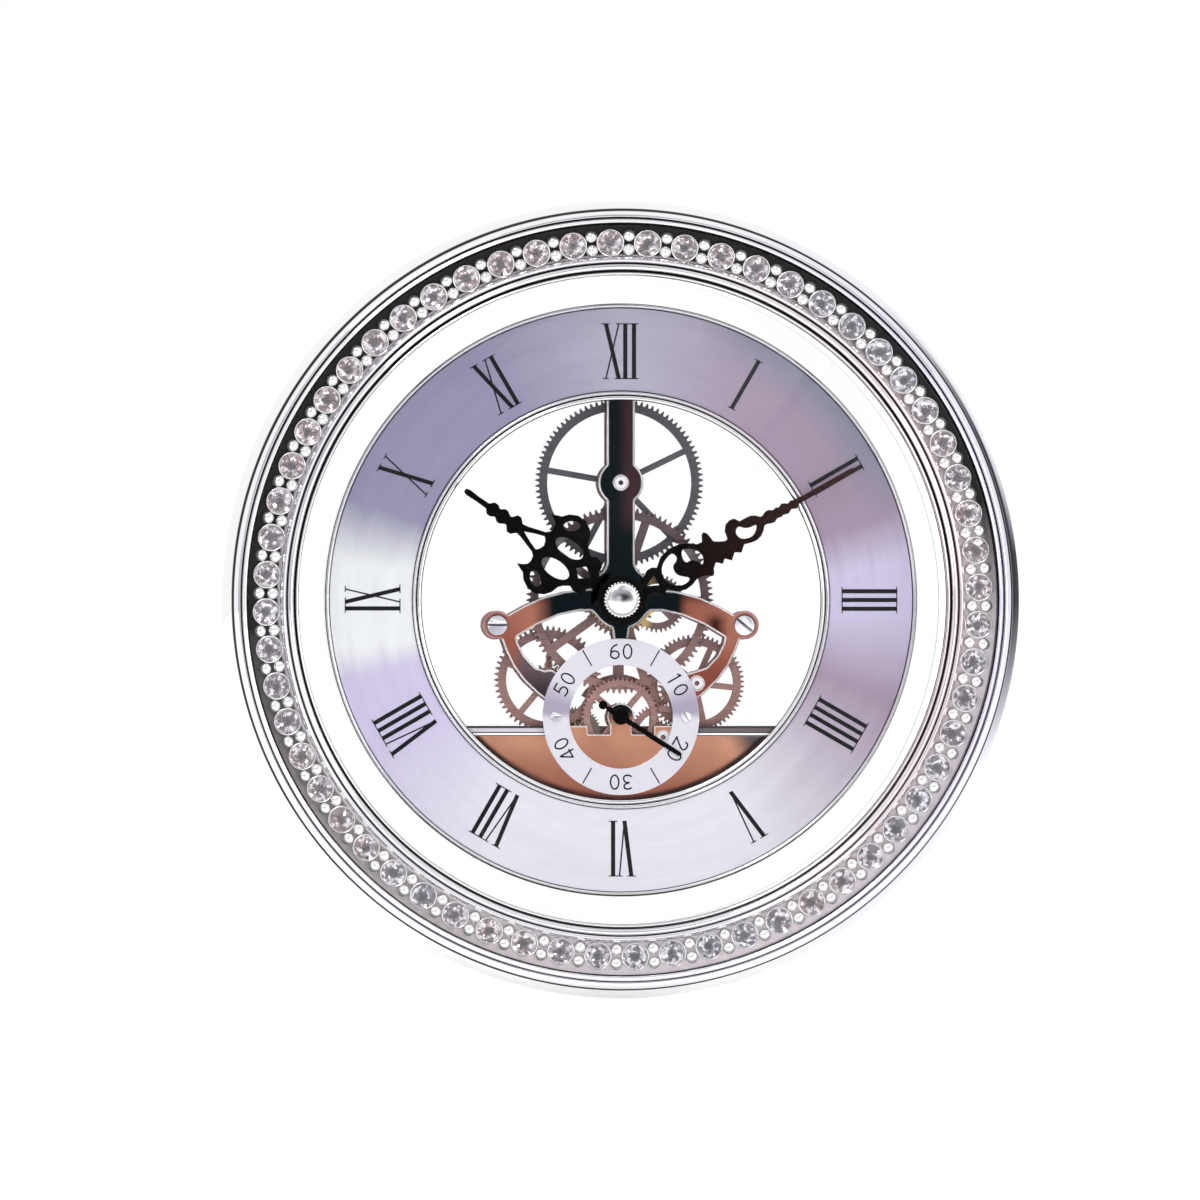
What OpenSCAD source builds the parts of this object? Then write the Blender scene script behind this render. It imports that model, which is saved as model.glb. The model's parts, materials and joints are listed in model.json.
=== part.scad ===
// Round skeleton clock insert: a stone-set bezel, a clear front and rear, a floating dial ring
// and an open wheel train between two bridges.
// Millimetres. X points right, Z up and Y to the back. The origin is on the hand axis, in the
// plane of the bezel's rear face, which rests on the panel that the clock is let into.

/* [Wheel train] */
// Module of the centre wheel and the pinions around it
train_m = 0.36; // [0.33:0.01:0.4]
// Module of the top wheel and the pinion that turns it
top_m = 0.345; // [0.32:0.005:0.37]
// Module of the left wheel
left_m = 0.35; // [0.32:0.01:0.36]
// Module of the right wheel and its pinion
right_m = 0.3; // [0.28:0.01:0.31]
// Module of the seconds wheel and its pinion
seconds_m = 0.29; // [0.26:0.01:0.31]
// Module of the transfer wheel and its pinion
transfer_m = 0.253; // [0.24:0.001:0.26]
// Module of the first motor wheel and the rotor pinion
motor_m = 0.2; // [0.18:0.01:0.22]
// Pitch radius total of each pair in the motion work
motion_reach = 7; // [6.5:0.1:7.5]
// Thickness of the large wheels
wheel_t = 1; // [0.6:0.1:1.2]
// Thickness of the small wheels
small_wheel_t = 0.7; // [0.4:0.1:0.8]
// Width of a wheel's rim below its teeth
rim_w = 1.5; // [1:0.1:1.8]
// Width of a spoke
spoke_w = 1.15; // [0.8:0.05:1.6]
// Radius of an arbor
arbor_r = 0.6; // [0.5:0.05:0.8]
// Radius of the pivot at an arbor's end
pivot_r = 0.4; // [0.3:0.05:0.45]
// Distance of the seconds axis below the hand axis
seconds_drop = 22; // [21:0.5:24]

/* [Bridges and plates] */
// Distance from the hand axis to each eyelet of the front bridge, across
arm_reach = 23.3; // [22:0.1:25]
// Height of the eyelets below the hand axis
eyelet_drop = 4.7; // [4:0.1:5.5]
// Radius of an eyelet
eyelet_r = 2.7; // [2.4:0.1:3.2]
// Width of the vertical bar
bar_w = 5.3; // [4:0.1:6.5]
// Radius of the boss round the top pivot
top_boss_r = 4.25; // [3.5:0.05:5]
// Radius of the centre boss
centre_boss_r = 5.5; // [5:0.1:6.5]
// Thickness of the front bridge and the bottom plate
bridge_t = 1.5; // [1.2:0.1:2]
// Thickness of the back plate
back_plate_t = 1.2; // [1:0.1:2]
// Clear height between the bridges
pillar_len = 8; // [7.9:0.1:9]
// Radius of the pillars
pillar_r = 1.6; // [1.4:0.1:2]
// Height of the bottom plate's top edge below the seconds axis
plate_drop = 1.7; // [1.2:0.1:2.5]

/* [Seconds dial] */
// Outer radius of the seconds dial
seconds_dial_r = 14.74; // [14:0.1:16]
// Inner radius of the seconds dial
seconds_dial_in_r = 9.75; // [9:0.05:10.2]
// Thickness of both dials
dial_t = 0.5; // [0.4:0.1:0.8]

/* [Main dial] */
// Width of the dial ring
dial_w = 15.5; // [13:0.5:18]
// Width of the bright rim at the dial's inner edge
inner_rim_w = 1.8; // [1.2:0.1:2.4]
// Width of the bright rim at the dial's outer edge
outer_rim_w = 0.9; // [0.6:0.1:1.6]
// Radial length of the hour numerals, as a share of the dial's width
numeral_share = 0.677; // [0.5:0.001:0.7]
// Depth of the ring-shaped dial housing
housing_depth = 10; // [9:0.5:12]

/* [Case and bezel] */
// Clear glass between the dial and the bezel
clear_gap = 5.2; // [4:0.1:8]
// Width of the bezel's inner lips
inner_lip_w = 3.5; // [3:0.1:5]
// Width of the bezel's outer mouldings
outer_lip_w = 4.44; // [4:0.02:6]
// Height of the bezel in front of the panel
bezel_h = 11; // [10.5:0.1:13]
// Diameter of a stone
stone_d = 5.2; // [4.6:0.1:5.6]
// Number of stones
stone_count = 60; // [48:1:66]
// Diameter of the beads between the stones
bead_d = 2.1; // [1.6:0.1:2.4]
// Thickness of the front glass and the rear window
glass_t = 2; // [1.5:0.1:3]
// Wall of the case ring
case_wall = 3.6; // [3.4:0.1:5]

/* [Battery] */
// Diameter of the battery
battery_d = 14.5; // [13:0.5:14.5]
// Length of the battery
battery_len = 50.5; // [44:0.5:50.5]

/* [Hands] */
// Length of the hour hand
hour_reach = 36; // [30:1:37]
// Length of the minute hand
minute_reach = 51; // [45:1:53]
// Length of the seconds hand
seconds_reach = 13.6; // [11:0.2:14]
// Thickness of the hour and minute hands
hand_t = 0.4; // [0.3:0.05:0.5]
// Radius of the knurled hand nut
nut_r = 3.46; // [3:0.02:4]
// Clock angle of the hour hand
hour_angle = 305; // [0:1:359]
// Clock angle of the minute hand
minute_angle = 60.4; // [0:0.2:359]
// Clock angle of the seconds hand
seconds_angle = 122.6; // [0:0.2:359]

/* [Hidden] */

// Facets: round_fn for turned work, pin_fn for pins and beads
round_fn = 96;
pin_fn = 32;
// Overrun of every cut past the face it opens
over = 0.5;
// Radial clearance of a running fit
run_clear = 0.05;
// Clearance between parts that only have to stay apart
air = 0.3;
// Clearance of a part that drops into a pocket
drop_in = 0.1;

// Teeth: pressure angle, tooth width as a share of half the pitch, height shares of the module
pressure = 20;
tooth_share = 0.78;
tip_share = 0.95;
root_share = 1.25;

// Tooth counts
centre_teeth = 96;
top_teeth = 90;
top_drive_teeth = 38;
left_teeth = 56;
left_pinion_teeth = 16;
right_teeth = 60;
right_pinion_teeth = 12;
idler_teeth = 14;
transfer_teeth = 50;
transfer_pinion_teeth = 20;
seconds_teeth = 50;
seconds_pinion_teeth = 20;
motor_pinion_teeth = 10;
motor_teeth = 48;
rotor_teeth = 8;
cannon_teeth = 12;
motion_teeth = 36;
motion_pinion_teeth = 10;
hour_teeth = 40;
cannon_m = 2 * motion_reach / (cannon_teeth + motion_teeth);
hour_m = 2 * motion_reach / (motion_pinion_teeth + hour_teeth);

// Distances of the bodies' faces along Y. The rear face of the front bridge is at zero.
bridge_y = -bridge_t;
seconds_wheel_y = 0.5;
transfer_wheel_y = seconds_wheel_y + small_wheel_t + 0.35 * wheel_t;
centre_wheel_y = transfer_wheel_y + small_wheel_t + 0.55 * wheel_t;
train_wheel_y = centre_wheel_y + 1.8 * wheel_t;
motor_wheel_y = pillar_len - small_wheel_t - 0.8;
hour_wheel_y = 0.3;
motion_wheel_y = hour_wheel_y + small_wheel_t + air;
back_plate_y = pillar_len;

// Clock angle to the angle used for rotations seen from the front
function clock(a) = 90 - a;
function polar(r, a) = [r * cos(a), r * sin(a)];
function pair_reach(a, b, m) = (a + b) / 2 * m;
function bearing_to(p, q) = atan2(q[1] - p[1], q[0] - p[0]);
// Point at distance ra from p and rb from q, on the clockwise side of the line from p to q
function meet(p, ra, q, rb) =
    let (c = norm(q - p), a = acos((ra * ra + c * c - rb * rb) / (2 * ra * c)))
    p + polar(ra, bearing_to(p, q) - a);

// Axes, as [x, z]
hand_axis = [0, 0];
top_axis = [0, pair_reach(top_teeth, top_drive_teeth, top_m)];
seconds_axis = [0, -seconds_drop];
left_bearing = 228;
left_axis = polar(pair_reach(centre_teeth, left_pinion_teeth, train_m), left_bearing);
right_bearing = -47.6;
right_gap = 1.8;
right_axis = polar(pair_reach(centre_teeth, right_pinion_teeth, train_m) + right_gap, right_bearing);
idler_axis = meet(hand_axis, pair_reach(centre_teeth, idler_teeth, train_m),
    right_axis, pair_reach(right_pinion_teeth, idler_teeth, train_m));
transfer_axis = meet(seconds_axis, pair_reach(seconds_pinion_teeth, transfer_teeth, transfer_m),
    right_axis, pair_reach(transfer_pinion_teeth, right_teeth, right_m));
motor_bearing = 200;
motor_axis = seconds_axis + polar(pair_reach(seconds_teeth, motor_pinion_teeth, seconds_m), motor_bearing);
rotor_bearing = 230;
rotor_axis = motor_axis + polar(pair_reach(motor_teeth, rotor_teeth, motor_m), rotor_bearing);
motion_bearing = -5;
motion_axis = polar(motion_reach, motion_bearing);
eyelets = [for (s = [-1, 1]) [s * arm_reach, -eyelet_drop]];

// Radii outwards from the movement
opening_r = max(top_axis[1] + top_teeth * top_m / 2, seconds_drop + seconds_dial_r + air);
dial_in_r = opening_r + inner_rim_w;
dial_out_r = dial_in_r + dial_w;
dial_edge_r = dial_out_r + outer_rim_w;
sight_r = dial_edge_r + clear_gap;
stone_play = 0.43;
channel_in_r = sight_r + inner_lip_w;
stone_ring_r = channel_in_r + stone_play + stone_d / 2;
channel_out_r = stone_ring_r + stone_d / 2 + stone_play;
flange_r = channel_out_r + outer_lip_w;

// Front to back: bezel, glass, seal, case ring, rear window
glass_setback = 1.8;
glass_y = -bezel_h + glass_setback;
seal_t = 1.2;
glass_lip = 1.4;
glass_r = sight_r + glass_lip;
glass_back_y = glass_y + glass_t;
case_front_y = glass_back_y + seal_t;
case_bore_r = sight_r + glass_lip - 0.4;
spigot_r = case_bore_r + case_wall;
spigot_step = 1.1;
register_r = spigot_r - spigot_step;
lip_t = 0.9;
bay_y = 1;
bay_wall = 0.8;
battery_play = 0.3;
battery_y = bay_y + bay_wall + battery_play + battery_d / 2;
rear_window_y = battery_y + battery_d / 2 + battery_play;
rear_window_r = case_bore_r - drop_in;
rear_ring_y = rear_window_y + glass_t;
rear_ring_t = 1.2;
case_rear_y = rear_ring_y;

// Dial and housing levels
seconds_dial_lift = 0.4;
seconds_dial_y = bridge_y - seconds_dial_lift - dial_t;
housing_lift = 0.3;
dial_y = bridge_y - housing_lift - dial_t;
housing_y = dial_y + dial_t;
housing_wall = 1.2;
housing_in_r = opening_r + 1.3;
housing_out_r = dial_edge_r - drop_in;
housing_skin = 0.8;
ink_t = 0.05;

// Hands along Y, front faces
seconds_hand_t = 0.3;
seconds_hand_y = seconds_dial_y - air - seconds_hand_t;
hand_seat_y = seconds_hand_y + seconds_hand_t / 3;
hour_hand_y = seconds_hand_y - 2 * air - hand_t;
minute_hand_y = hour_hand_y - 3 * air - hand_t;
washer_t = 0.3;
washer_r = 4.7;
washer_y = minute_hand_y - washer_t;
nut_t = 0.7;
nut_y = washer_y - nut_t;
nut_dome = 0.5;
hand_arbor_r = 0.9;
cannon_r = 1.25;
hour_pipe_in_r = cannon_r + run_clear;
hour_pipe_r = 1.9;
hub_r = 4.4;

// Fasteners
screw_r = 0.9;
screw_head_r = 2;
screw_head_t = 0.7;
slot_w = 0.4;
small_screw_r = 0.6;
small_head_r = 1;
small_head_t = 0.35;
dial_head_t = 0.2;
rear_screw_count = 6;
post_r = 2.4;

// Flat work seen from the front: drawn in x and z, then given its front face and thickness
module slab(front, thick) {
    translate([0, front + thick, 0])
        rotate([90, 0, 0])
            linear_extrude(thick)
                children();
}

// Turned work: a profile in [radius, y] spun about the hand axis
module turned() {
    rotate([-90, 0, 0])
        rotate_extrude($fn = round_fn)
            children();
}

// A round rod along Y
module rod(r, front, len, fn = pin_fn) {
    translate([0, front, 0])
        rotate([-90, 0, 0])
            cylinder(r = r, h = len, $fn = fn);
}

// A cone along Y
module taper(r1, r2, front, len) {
    translate([0, front, 0])
        rotate([-90, 0, 0])
            cylinder(r1 = r1, r2 = r2, h = len, $fn = pin_fn);
}

module at(p) {
    translate([p[0], 0, p[1]])
        children();
}

module place(p) {
    translate([p[0], p[1]])
        children();
}

module both_sides() {
    children();
    mirror([1, 0, 0])
        children();
}

module ring(outer, inner, front, thick) {
    slab(front, thick)
        difference() {
            circle(r = outer, $fn = round_fn);
            circle(r = inner, $fn = round_fn);
        }
}

// Closed curve through a list of points, with n pieces for each point
function smooth(p, n) = [
    for (i = [0 : len(p) - 1])
        let (a = p[(i + len(p) - 1) % len(p)], b = p[i], c = p[(i + 1) % len(p)], d = p[(i + 2) % len(p)])
        for (k = [0 : n - 1])
            let (t = k / n)
            (2 * b + (c - a) * t + (2 * a - 5 * b + 4 * c - d) * t * t
                + (3 * b - a - 3 * c + d) * t * t * t) / 2
];

// Open curve through a list of points
function open_curve(p, n) = [
    for (i = [0 : len(p) - 2])
        let (a = p[max(i - 1, 0)], b = p[i], c = p[i + 1], d = p[min(i + 2, len(p) - 1)])
        for (k = [0 : i == len(p) - 2 ? n : n - 1])
            let (t = k / n)
            (2 * b + (c - a) * t + (2 * a - 5 * b + 4 * c - d) * t * t
                + (3 * b - a - 3 * c + d) * t * t * t) / 2
];

// Ribbon of width w along an open list of points
function heading(p, i) = let (d = p[min(i + 1, len(p) - 1)] - p[max(i - 1, 0)]) d / norm(d);
function ribbon(p, w) = concat(
    [for (i = [0 : len(p) - 1]) p[i] + [-heading(p, i)[1], heading(p, i)[0]] * w / 2],
    [for (i = [len(p) - 1 : -1 : 0]) p[i] - [-heading(p, i)[1], heading(p, i)[0]] * w / 2]
);

function mirrored(p) = [for (i = [len(p) - 1 : -1 : 0]) [-p[i][0], p[i][1]]];
function ellipse(c, a, b, turn, n) = [
    for (i = [0 : n - 1])
        let (t = 360 * i / n)
        c + [a * cos(t) * cos(turn) - b * sin(t) * sin(turn), a * cos(t) * sin(turn) + b * sin(t) * cos(turn)]
];

// Gear outline: involute flanks, teeth thinned for play, first tooth at the phase angle
function involute(r, base) = let (a = acos(base / max(r, base))) tan(a) * 180 / PI - a;
function flank(r, teeth, m) =
    let (pitch = teeth * m / 2, base = pitch * cos(pressure))
    90 / teeth * tooth_share + involute(pitch, base) - involute(r, base);
function tooth_radii(teeth, m) =
    let (pitch = teeth * m / 2)
    [pitch - root_share * m, pitch - 0.4 * m, pitch, pitch + 0.55 * m, pitch + tip_share * m];
function gear_points(teeth, m, phase) = [
    for (i = [0 : teeth - 1])
        let (mid = phase + 360 * i / teeth, radii = tooth_radii(teeth, m))
        each concat(
            [for (r = radii) polar(r, mid - flank(r, teeth, m))],
            [for (k = [len(radii) - 1 : -1 : 0]) polar(radii[k], mid + flank(radii[k], teeth, m))]
        )
];
// Phase of the second gear of a pair, so that its gaps take the first gear's teeth
function mesh_phase(teeth_a, phase_a, from, to, teeth_b) =
    let (line = bearing_to(from, to))
    line + 180 - (180 - teeth_a * (line - phase_a)) / teeth_b;

centre_phase = 0;
top_drive_phase = 0;
seconds_phase = 0;
seconds_pinion_phase = 0;
idler_phase = mesh_phase(centre_teeth, centre_phase, hand_axis, idler_axis, idler_teeth);
right_pinion_phase = mesh_phase(idler_teeth, idler_phase, idler_axis, right_axis, right_pinion_teeth);
left_pinion_phase = mesh_phase(centre_teeth, centre_phase, hand_axis, left_axis, left_pinion_teeth);
top_phase = mesh_phase(top_drive_teeth, top_drive_phase, hand_axis, top_axis, top_teeth);
transfer_phase = mesh_phase(seconds_pinion_teeth, seconds_pinion_phase,
    seconds_axis, transfer_axis, transfer_teeth);
transfer_pinion_phase = 0;
right_phase = mesh_phase(transfer_pinion_teeth, transfer_pinion_phase,
    transfer_axis, right_axis, right_teeth);
motor_pinion_phase = mesh_phase(seconds_teeth, seconds_phase, seconds_axis, motor_axis, motor_pinion_teeth);
motor_phase = 0;
rotor_phase = mesh_phase(motor_teeth, motor_phase, motor_axis, rotor_axis, rotor_teeth);
cannon_phase = 0;
motion_phase = mesh_phase(cannon_teeth, cannon_phase, hand_axis, motion_axis, motion_teeth);
motion_pinion_phase = 0;
hour_phase = mesh_phase(motion_pinion_teeth, motion_pinion_phase, motion_axis, hand_axis, hour_teeth);

module gear(teeth, m, phase, front, thick) {
    slab(front, thick)
        polygon(gear_points(teeth, m, phase));
}

// Spokes of each wheel: how many, and the angle of the first
top_spokes = [5, 26];
centre_spokes = [5, 71.5];
left_spokes = [5, 230];
right_spokes = [5, -6];
transfer_spokes = [4, 20];
seconds_spokes = [4, 50];
motion_spokes = [4, 45];

// A wheel with windows between its spokes
module spoked(teeth, m, phase, front, thick, spokes, hub, rim, bore, wide = spoke_w) {
    inner = teeth * m / 2 - root_share * m - rim;
    slab(front, thick)
        difference() {
            polygon(gear_points(teeth, m, phase));
            difference() {
                circle(r = inner, $fn = round_fn);
                circle(r = hub, $fn = pin_fn);
                for (i = [0 : spokes[0] - 1])
                    rotate(spokes[1] + 360 * i / spokes[0])
                        translate([0, -wide / 2])
                            square([inner + over, wide]);
            }
            circle(r = bore, $fn = pin_fn);
        }
}

// An arbor with a pivot at each end, between two faces
module arbor(front, back, reach_front, reach_back, r = arbor_r) {
    rod(r, front, back - front);
    rod(pivot_r, front - reach_front, back - front + reach_front + reach_back);
}

module slotted_head(r, front, thick, turn) {
    difference() {
        rod(r, front, thick);
        translate([0, front - over, 0])
            rotate([0, turn, 0])
                translate([-r - over, 0, -slot_w / 2])
                    cube([2 * r + 2 * over, over + thick / 2, slot_w]);
    }
}

// Case

module case_ring() {
    color("gainsboro")
        turned()
            polygon([
                [case_bore_r - 0.8, case_front_y],
                [register_r, case_front_y],
                [register_r, -spigot_step],
                [spigot_r, 0],
                [spigot_r, case_rear_y],
                [case_bore_r, case_rear_y],
                [case_bore_r, rear_window_y],
                [case_bore_r - lip_t, rear_window_y],
                [case_bore_r - lip_t, rear_window_y - lip_t],
                [case_bore_r, rear_window_y - 2 * lip_t],
                [case_bore_r, case_front_y + lip_t],
                [case_bore_r - 0.8, case_front_y + lip_t]
            ]);
}

// Half-round bead of the bezel between two radii, from one level to another, rising by crest
function bead_line(r0, y0, r1, y1, crest, n) = [
    for (i = [0 : n])
        let (t = i / n)
        [r0 + (r1 - r0) * t, y0 + (y1 - y0) * t - crest * sin(180 * t)]
];

channel_floor_y = -bezel_h + 4;
module front_bezel() {
    top = -bezel_h;
    lip = inner_lip_w;
    moulding = outer_lip_w;
    color("silver")
        turned()
            polygon(concat(
                [[sight_r, glass_y]],
                bead_line(sight_r, top + 1.1, sight_r + 0.2 * lip, top + 1, 0.3, 5),
                bead_line(sight_r + 0.24 * lip, top + 1, sight_r + 0.62 * lip, top + 0.7, 0.5, 8),
                bead_line(sight_r + 0.66 * lip, top + 0.7, sight_r + 0.97 * lip, top + 0.9, 0.7, 8),
                [[channel_in_r, top + 1.4], [channel_in_r, channel_floor_y]],
                [[channel_out_r, channel_floor_y], [channel_out_r, top + 1.4]],
                bead_line(channel_out_r + 0.02 * moulding, top + 0.9,
                    channel_out_r + 0.25 * moulding, top + 1.3, 0.8, 8),
                bead_line(channel_out_r + 0.29 * moulding, top + 1.6,
                    channel_out_r + 0.65 * moulding, top + 3.6, 0.8, 10),
                bead_line(channel_out_r + 0.69 * moulding, top + 4.2, flange_r, -2.2, 0.5, 10),
                [[flange_r, -0.4], [flange_r - 0.4, 0]],
                [[spigot_r + run_clear, 0], [register_r + run_clear, -spigot_step]],
                [[register_r + run_clear, case_front_y]],
                [[glass_r + drop_in, case_front_y], [glass_r + drop_in, glass_y]]
            ));
}

strip_t = 0.4;
strip_front_y = channel_floor_y - strip_t;
module stone_backing_strip() {
    color("black")
        ring(channel_out_r - drop_in, channel_in_r + drop_in, strip_front_y, strip_t);
}

cup_wall = 0.25;
cup_h = 1.6;
stone_table_share = 0.55;
stone_crown_share = 0.16;
stone_depth_share = 0.42;
girdle_t = 0.15;
stone_y = strip_front_y - cup_h;
stone_offset = -2;
bead_spread = bead_d / 2 + 0.3;
module each_stone() {
    for (i = [0 : stone_count - 1])
        rotate([0, stone_offset + 360 * i / stone_count, 0])
            translate([0, 0, stone_ring_r])
                children();
}

// A thin cup under each stone, and a pair of beads between neighbours
module stone_setting() {
    color("silver") {
        each_stone()
            difference() {
                rod(stone_d / 2, stone_y, cup_h);
                rod(stone_d / 2 - cup_wall, stone_y - over, cup_h + over - cup_wall);
            }
        for (i = [0 : stone_count - 1], s = [-1, 1])
            rotate([0, stone_offset + 360 * (i + 0.5) / stone_count, 0])
                translate([0, strip_front_y - bead_d / 2, stone_ring_r + s * bead_spread])
                    sphere(r = bead_d / 2, $fn = pin_fn);
    }
}

module crystal_stones() {
    r = stone_d / 2 - cup_wall;
    crown = stone_d * stone_crown_share;
    deep = cup_h - 2 * cup_wall;
    color("lavender")
        each_stone() {
            taper(r * stone_table_share, r, stone_y - crown, crown);
            rod(r, stone_y, girdle_t);
            taper(r, cup_wall, stone_y + girdle_t, deep - girdle_t);
        }
}

module front_glass() {
    color("white", 0.3)
        rod(glass_r, glass_y, glass_t, round_fn);
}

module glass_seal() {
    color("dimgray")
        ring(glass_r, glass_r - glass_lip, glass_back_y, seal_t);
}

// The rear window carries the dial housing
window_hole_r = 7;
bay_half_w = battery_len / 2 + 2;
bay_top_z = -seconds_drop - plate_drop - 9.2;
battery_z = bay_top_z - bay_wall - battery_play - battery_d / 2;
bay_bottom_z = battery_z - battery_d / 2 - battery_play;
post_ring_r = (housing_in_r + housing_out_r) / 2;
post_bearing = acos((bay_half_w + 1.3 * post_r) / post_ring_r);
posts = [for (s = [-1, 1], t = [-1, 1]) [s * cos(post_bearing), t * sin(post_bearing)] * post_ring_r];

module rear_window() {
    color("white", 0.3)
        slab(rear_window_y, glass_t)
            difference() {
                circle(r = rear_window_r, $fn = round_fn);
                circle(r = window_hole_r, $fn = round_fn);
                translate([-bay_half_w, bay_bottom_z])
                    square([2 * bay_half_w, bay_top_z - bay_bottom_z]);
                for (p = posts)
                    place(p)
                        circle(r = screw_r + drop_in, $fn = pin_fn);
            }
}

rear_screw_pcr = case_bore_r + case_wall / 2;
rear_face_y = rear_ring_y + rear_ring_t;
module rear_ring() {
    color("dimgray")
        difference() {
            ring(spigot_r, case_bore_r - lip_t, rear_ring_y, rear_ring_t);
            for (i = [0 : rear_screw_count - 1])
                at(polar(rear_screw_pcr, 360 * i / rear_screw_count)) {
                    rod(small_screw_r + drop_in, rear_ring_y - over, rear_ring_t + 2 * over);
                    rod(small_head_r + drop_in, rear_face_y - small_head_t, small_head_t + over);
                }
        }
}

module rear_ring_screws() {
    color("silver")
        for (i = [0 : rear_screw_count - 1])
            at(polar(rear_screw_pcr, 360 * i / rear_screw_count))
                difference() {
                    rod(small_head_r, rear_face_y - small_head_t, small_head_t);
                    translate([-small_head_r, rear_face_y - small_head_t / 2, -slot_w / 4])
                        cube([2 * small_head_r, small_head_t, slot_w / 2]);
                }
    color("silver")
        for (i = [0 : rear_screw_count - 1])
            at(polar(rear_screw_pcr, 360 * i / rear_screw_count))
                rod(small_screw_r, rear_ring_y, rear_ring_t - small_head_t);
}

// Main dial

module dial_ring() {
    color("lightgray")
        ring(dial_out_r, dial_in_r, dial_y, dial_t);
}

rim_rise = 0.6;
module dial_outer_rim() {
    color("silver")
        turned()
            polygon(concat(
                [[dial_edge_r, dial_y + dial_t], [dial_out_r, dial_y + dial_t]],
                bead_line(dial_out_r, dial_y, dial_edge_r, dial_y, rim_rise, 8)
            ));
}

module dial_inner_rim() {
    color("silver")
        turned()
            polygon(concat(
                [[dial_in_r, dial_y + dial_t], [opening_r, dial_y + dial_t]],
                bead_line(opening_r, dial_y, opening_r + inner_rim_w / 2, dial_y, rim_rise / 2, 6),
                bead_line(opening_r + inner_rim_w / 2, dial_y, dial_in_r, dial_y, rim_rise, 8)
            ));
}

// Roman numerals, upright at the origin: thick and thin strokes with fine serifs
numeral_h = dial_w * numeral_share;
numeral_r = dial_out_r - 0.184 * dial_w;
thick_share = 0.075;
thin_share = 0.026;
serif_share = 0.018;
serif_reach_share = 0.0425;
glyph_gap_share = -0.003;
v_width_share = 0.29;
x_width_share = 0.31;
thick_w = numeral_h * thick_share;
thin_w = numeral_h * thin_share;
serif_t = numeral_h * serif_share;
serif_reach = numeral_h * serif_reach_share;
glyph_gap = numeral_h * glyph_gap_share;
v_width = numeral_h * v_width_share;
x_width = numeral_h * x_width_share;

// A slanting stroke from the foot at x0 to the head at x1
module stroke(x0, x1, w) {
    polygon([[x0 - w / 2, 0], [x0 + w / 2, 0], [x1 + w / 2, numeral_h], [x1 - w / 2, numeral_h]]);
}

module serif(x, w, z) {
    translate([x - w / 2 - serif_reach, z])
        square([w + 2 * serif_reach, serif_t]);
}

module glyph_i() {
    stroke(0, 0, thick_w);
    serif(0, thick_w, 0);
    serif(0, thick_w, numeral_h - serif_t);
}

module glyph_v() {
    head = (v_width - thick_w) / 2;
    stroke(thick_w / 4, -head, thick_w);
    stroke(thick_w / 4, head, thin_w);
    serif(-head, thick_w, numeral_h - serif_t);
    serif(head, thin_w, numeral_h - serif_t);
}

module glyph_x() {
    head = (x_width - thick_w) / 2;
    stroke(head, -head, thick_w);
    stroke(-head, head, thin_w);
    serif(-head, thick_w, numeral_h - serif_t);
    serif(head, thin_w, numeral_h - serif_t);
    serif(head, thick_w, 0);
    serif(-head, thin_w, 0);
}

function glyph_width(c) = c == "I" ? thick_w + 2 * serif_reach : c == "V" ? v_width : x_width;
function span(s, n) = n == 0 ? 0 : span(s, n - 1) + glyph_width(s[n - 1]) + glyph_gap;
module glyph(c) {
    if (c == "I") glyph_i();
    if (c == "V") glyph_v();
    if (c == "X") glyph_x();
}

module numeral(s) {
    whole = span(s, len(s)) - glyph_gap;
    for (i = [0 : len(s) - 1])
        translate([span(s, i) + glyph_width(s[i]) / 2 - whole / 2, 0])
            glyph(s[i]);
}

hour_words = ["XII", "I", "II", "III", "IIII", "V", "VI", "VII", "VIII", "IX", "X", "XI"];
module hour_numerals() {
    color("black")
        slab(dial_y - ink_t, ink_t)
            for (h = [0 : len(hour_words) - 1])
                rotate(-360 * h / len(hour_words))
                    translate([0, numeral_r - numeral_h])
                        numeral(hour_words[h]);
}

// The housing: a shallow plastic ring behind the dial, with a deep bay for the battery
ear_r = 2.6;
ear_reach = housing_in_r + 4.6;
ear_bearings = [90, -43, 223];
ears = [for (a = ear_bearings) polar(ear_reach, a)];
bar_seat = 2.2;
module bay_outline(inset) {
    intersection() {
        circle(r = housing_out_r - inset, $fn = round_fn);
        translate([-bay_half_w + inset, bay_bottom_z - over])
            square([2 * (bay_half_w - inset), bay_top_z - bay_bottom_z + over - inset]);
    }
}

module dial_housing() {
    color("whitesmoke")
        difference() {
            union() {
                ring(housing_out_r, housing_in_r, housing_y, housing_wall);
                ring(housing_out_r, housing_out_r - housing_skin, housing_y, housing_depth);
                ring(housing_in_r + housing_wall, housing_in_r, housing_y, back_plate_y - housing_y);
                slab(bay_y, rear_window_y - bay_y)
                    bay_outline(0);
                for (p = ears)
                    at(p)
                        rod(ear_r, housing_y, back_plate_y - housing_y);
                for (p = posts)
                    at(p)
                        rod(post_r + housing_wall, housing_y, housing_depth);
            }
            slab(bay_y + bay_wall, rear_window_y)
                bay_outline(bay_wall);
            slab(housing_y - over, over - housing_y)
                translate([-bar_w / 2 - drop_in, housing_in_r - over])
                    square([bar_w + 2 * drop_in, bar_seat + over + drop_in]);
            for (p = ears)
                at(p)
                    rod(small_screw_r, back_plate_y - 5 * small_screw_r, 6 * small_screw_r);
            for (p = posts)
                at(p)
                    rod(post_r + drop_in, housing_y + housing_depth - post_seat, post_seat + over);
        }
}

post_seat = 4;
post_y = housing_y + housing_depth - post_seat;
module housing_posts() {
    color("silver")
        for (p = posts)
            at(p)
                difference() {
                    rod(post_r, post_y, rear_window_y - post_y);
                    rod(screw_r, rear_window_y - 5 * screw_r, 6 * screw_r);
                }
}

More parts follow.
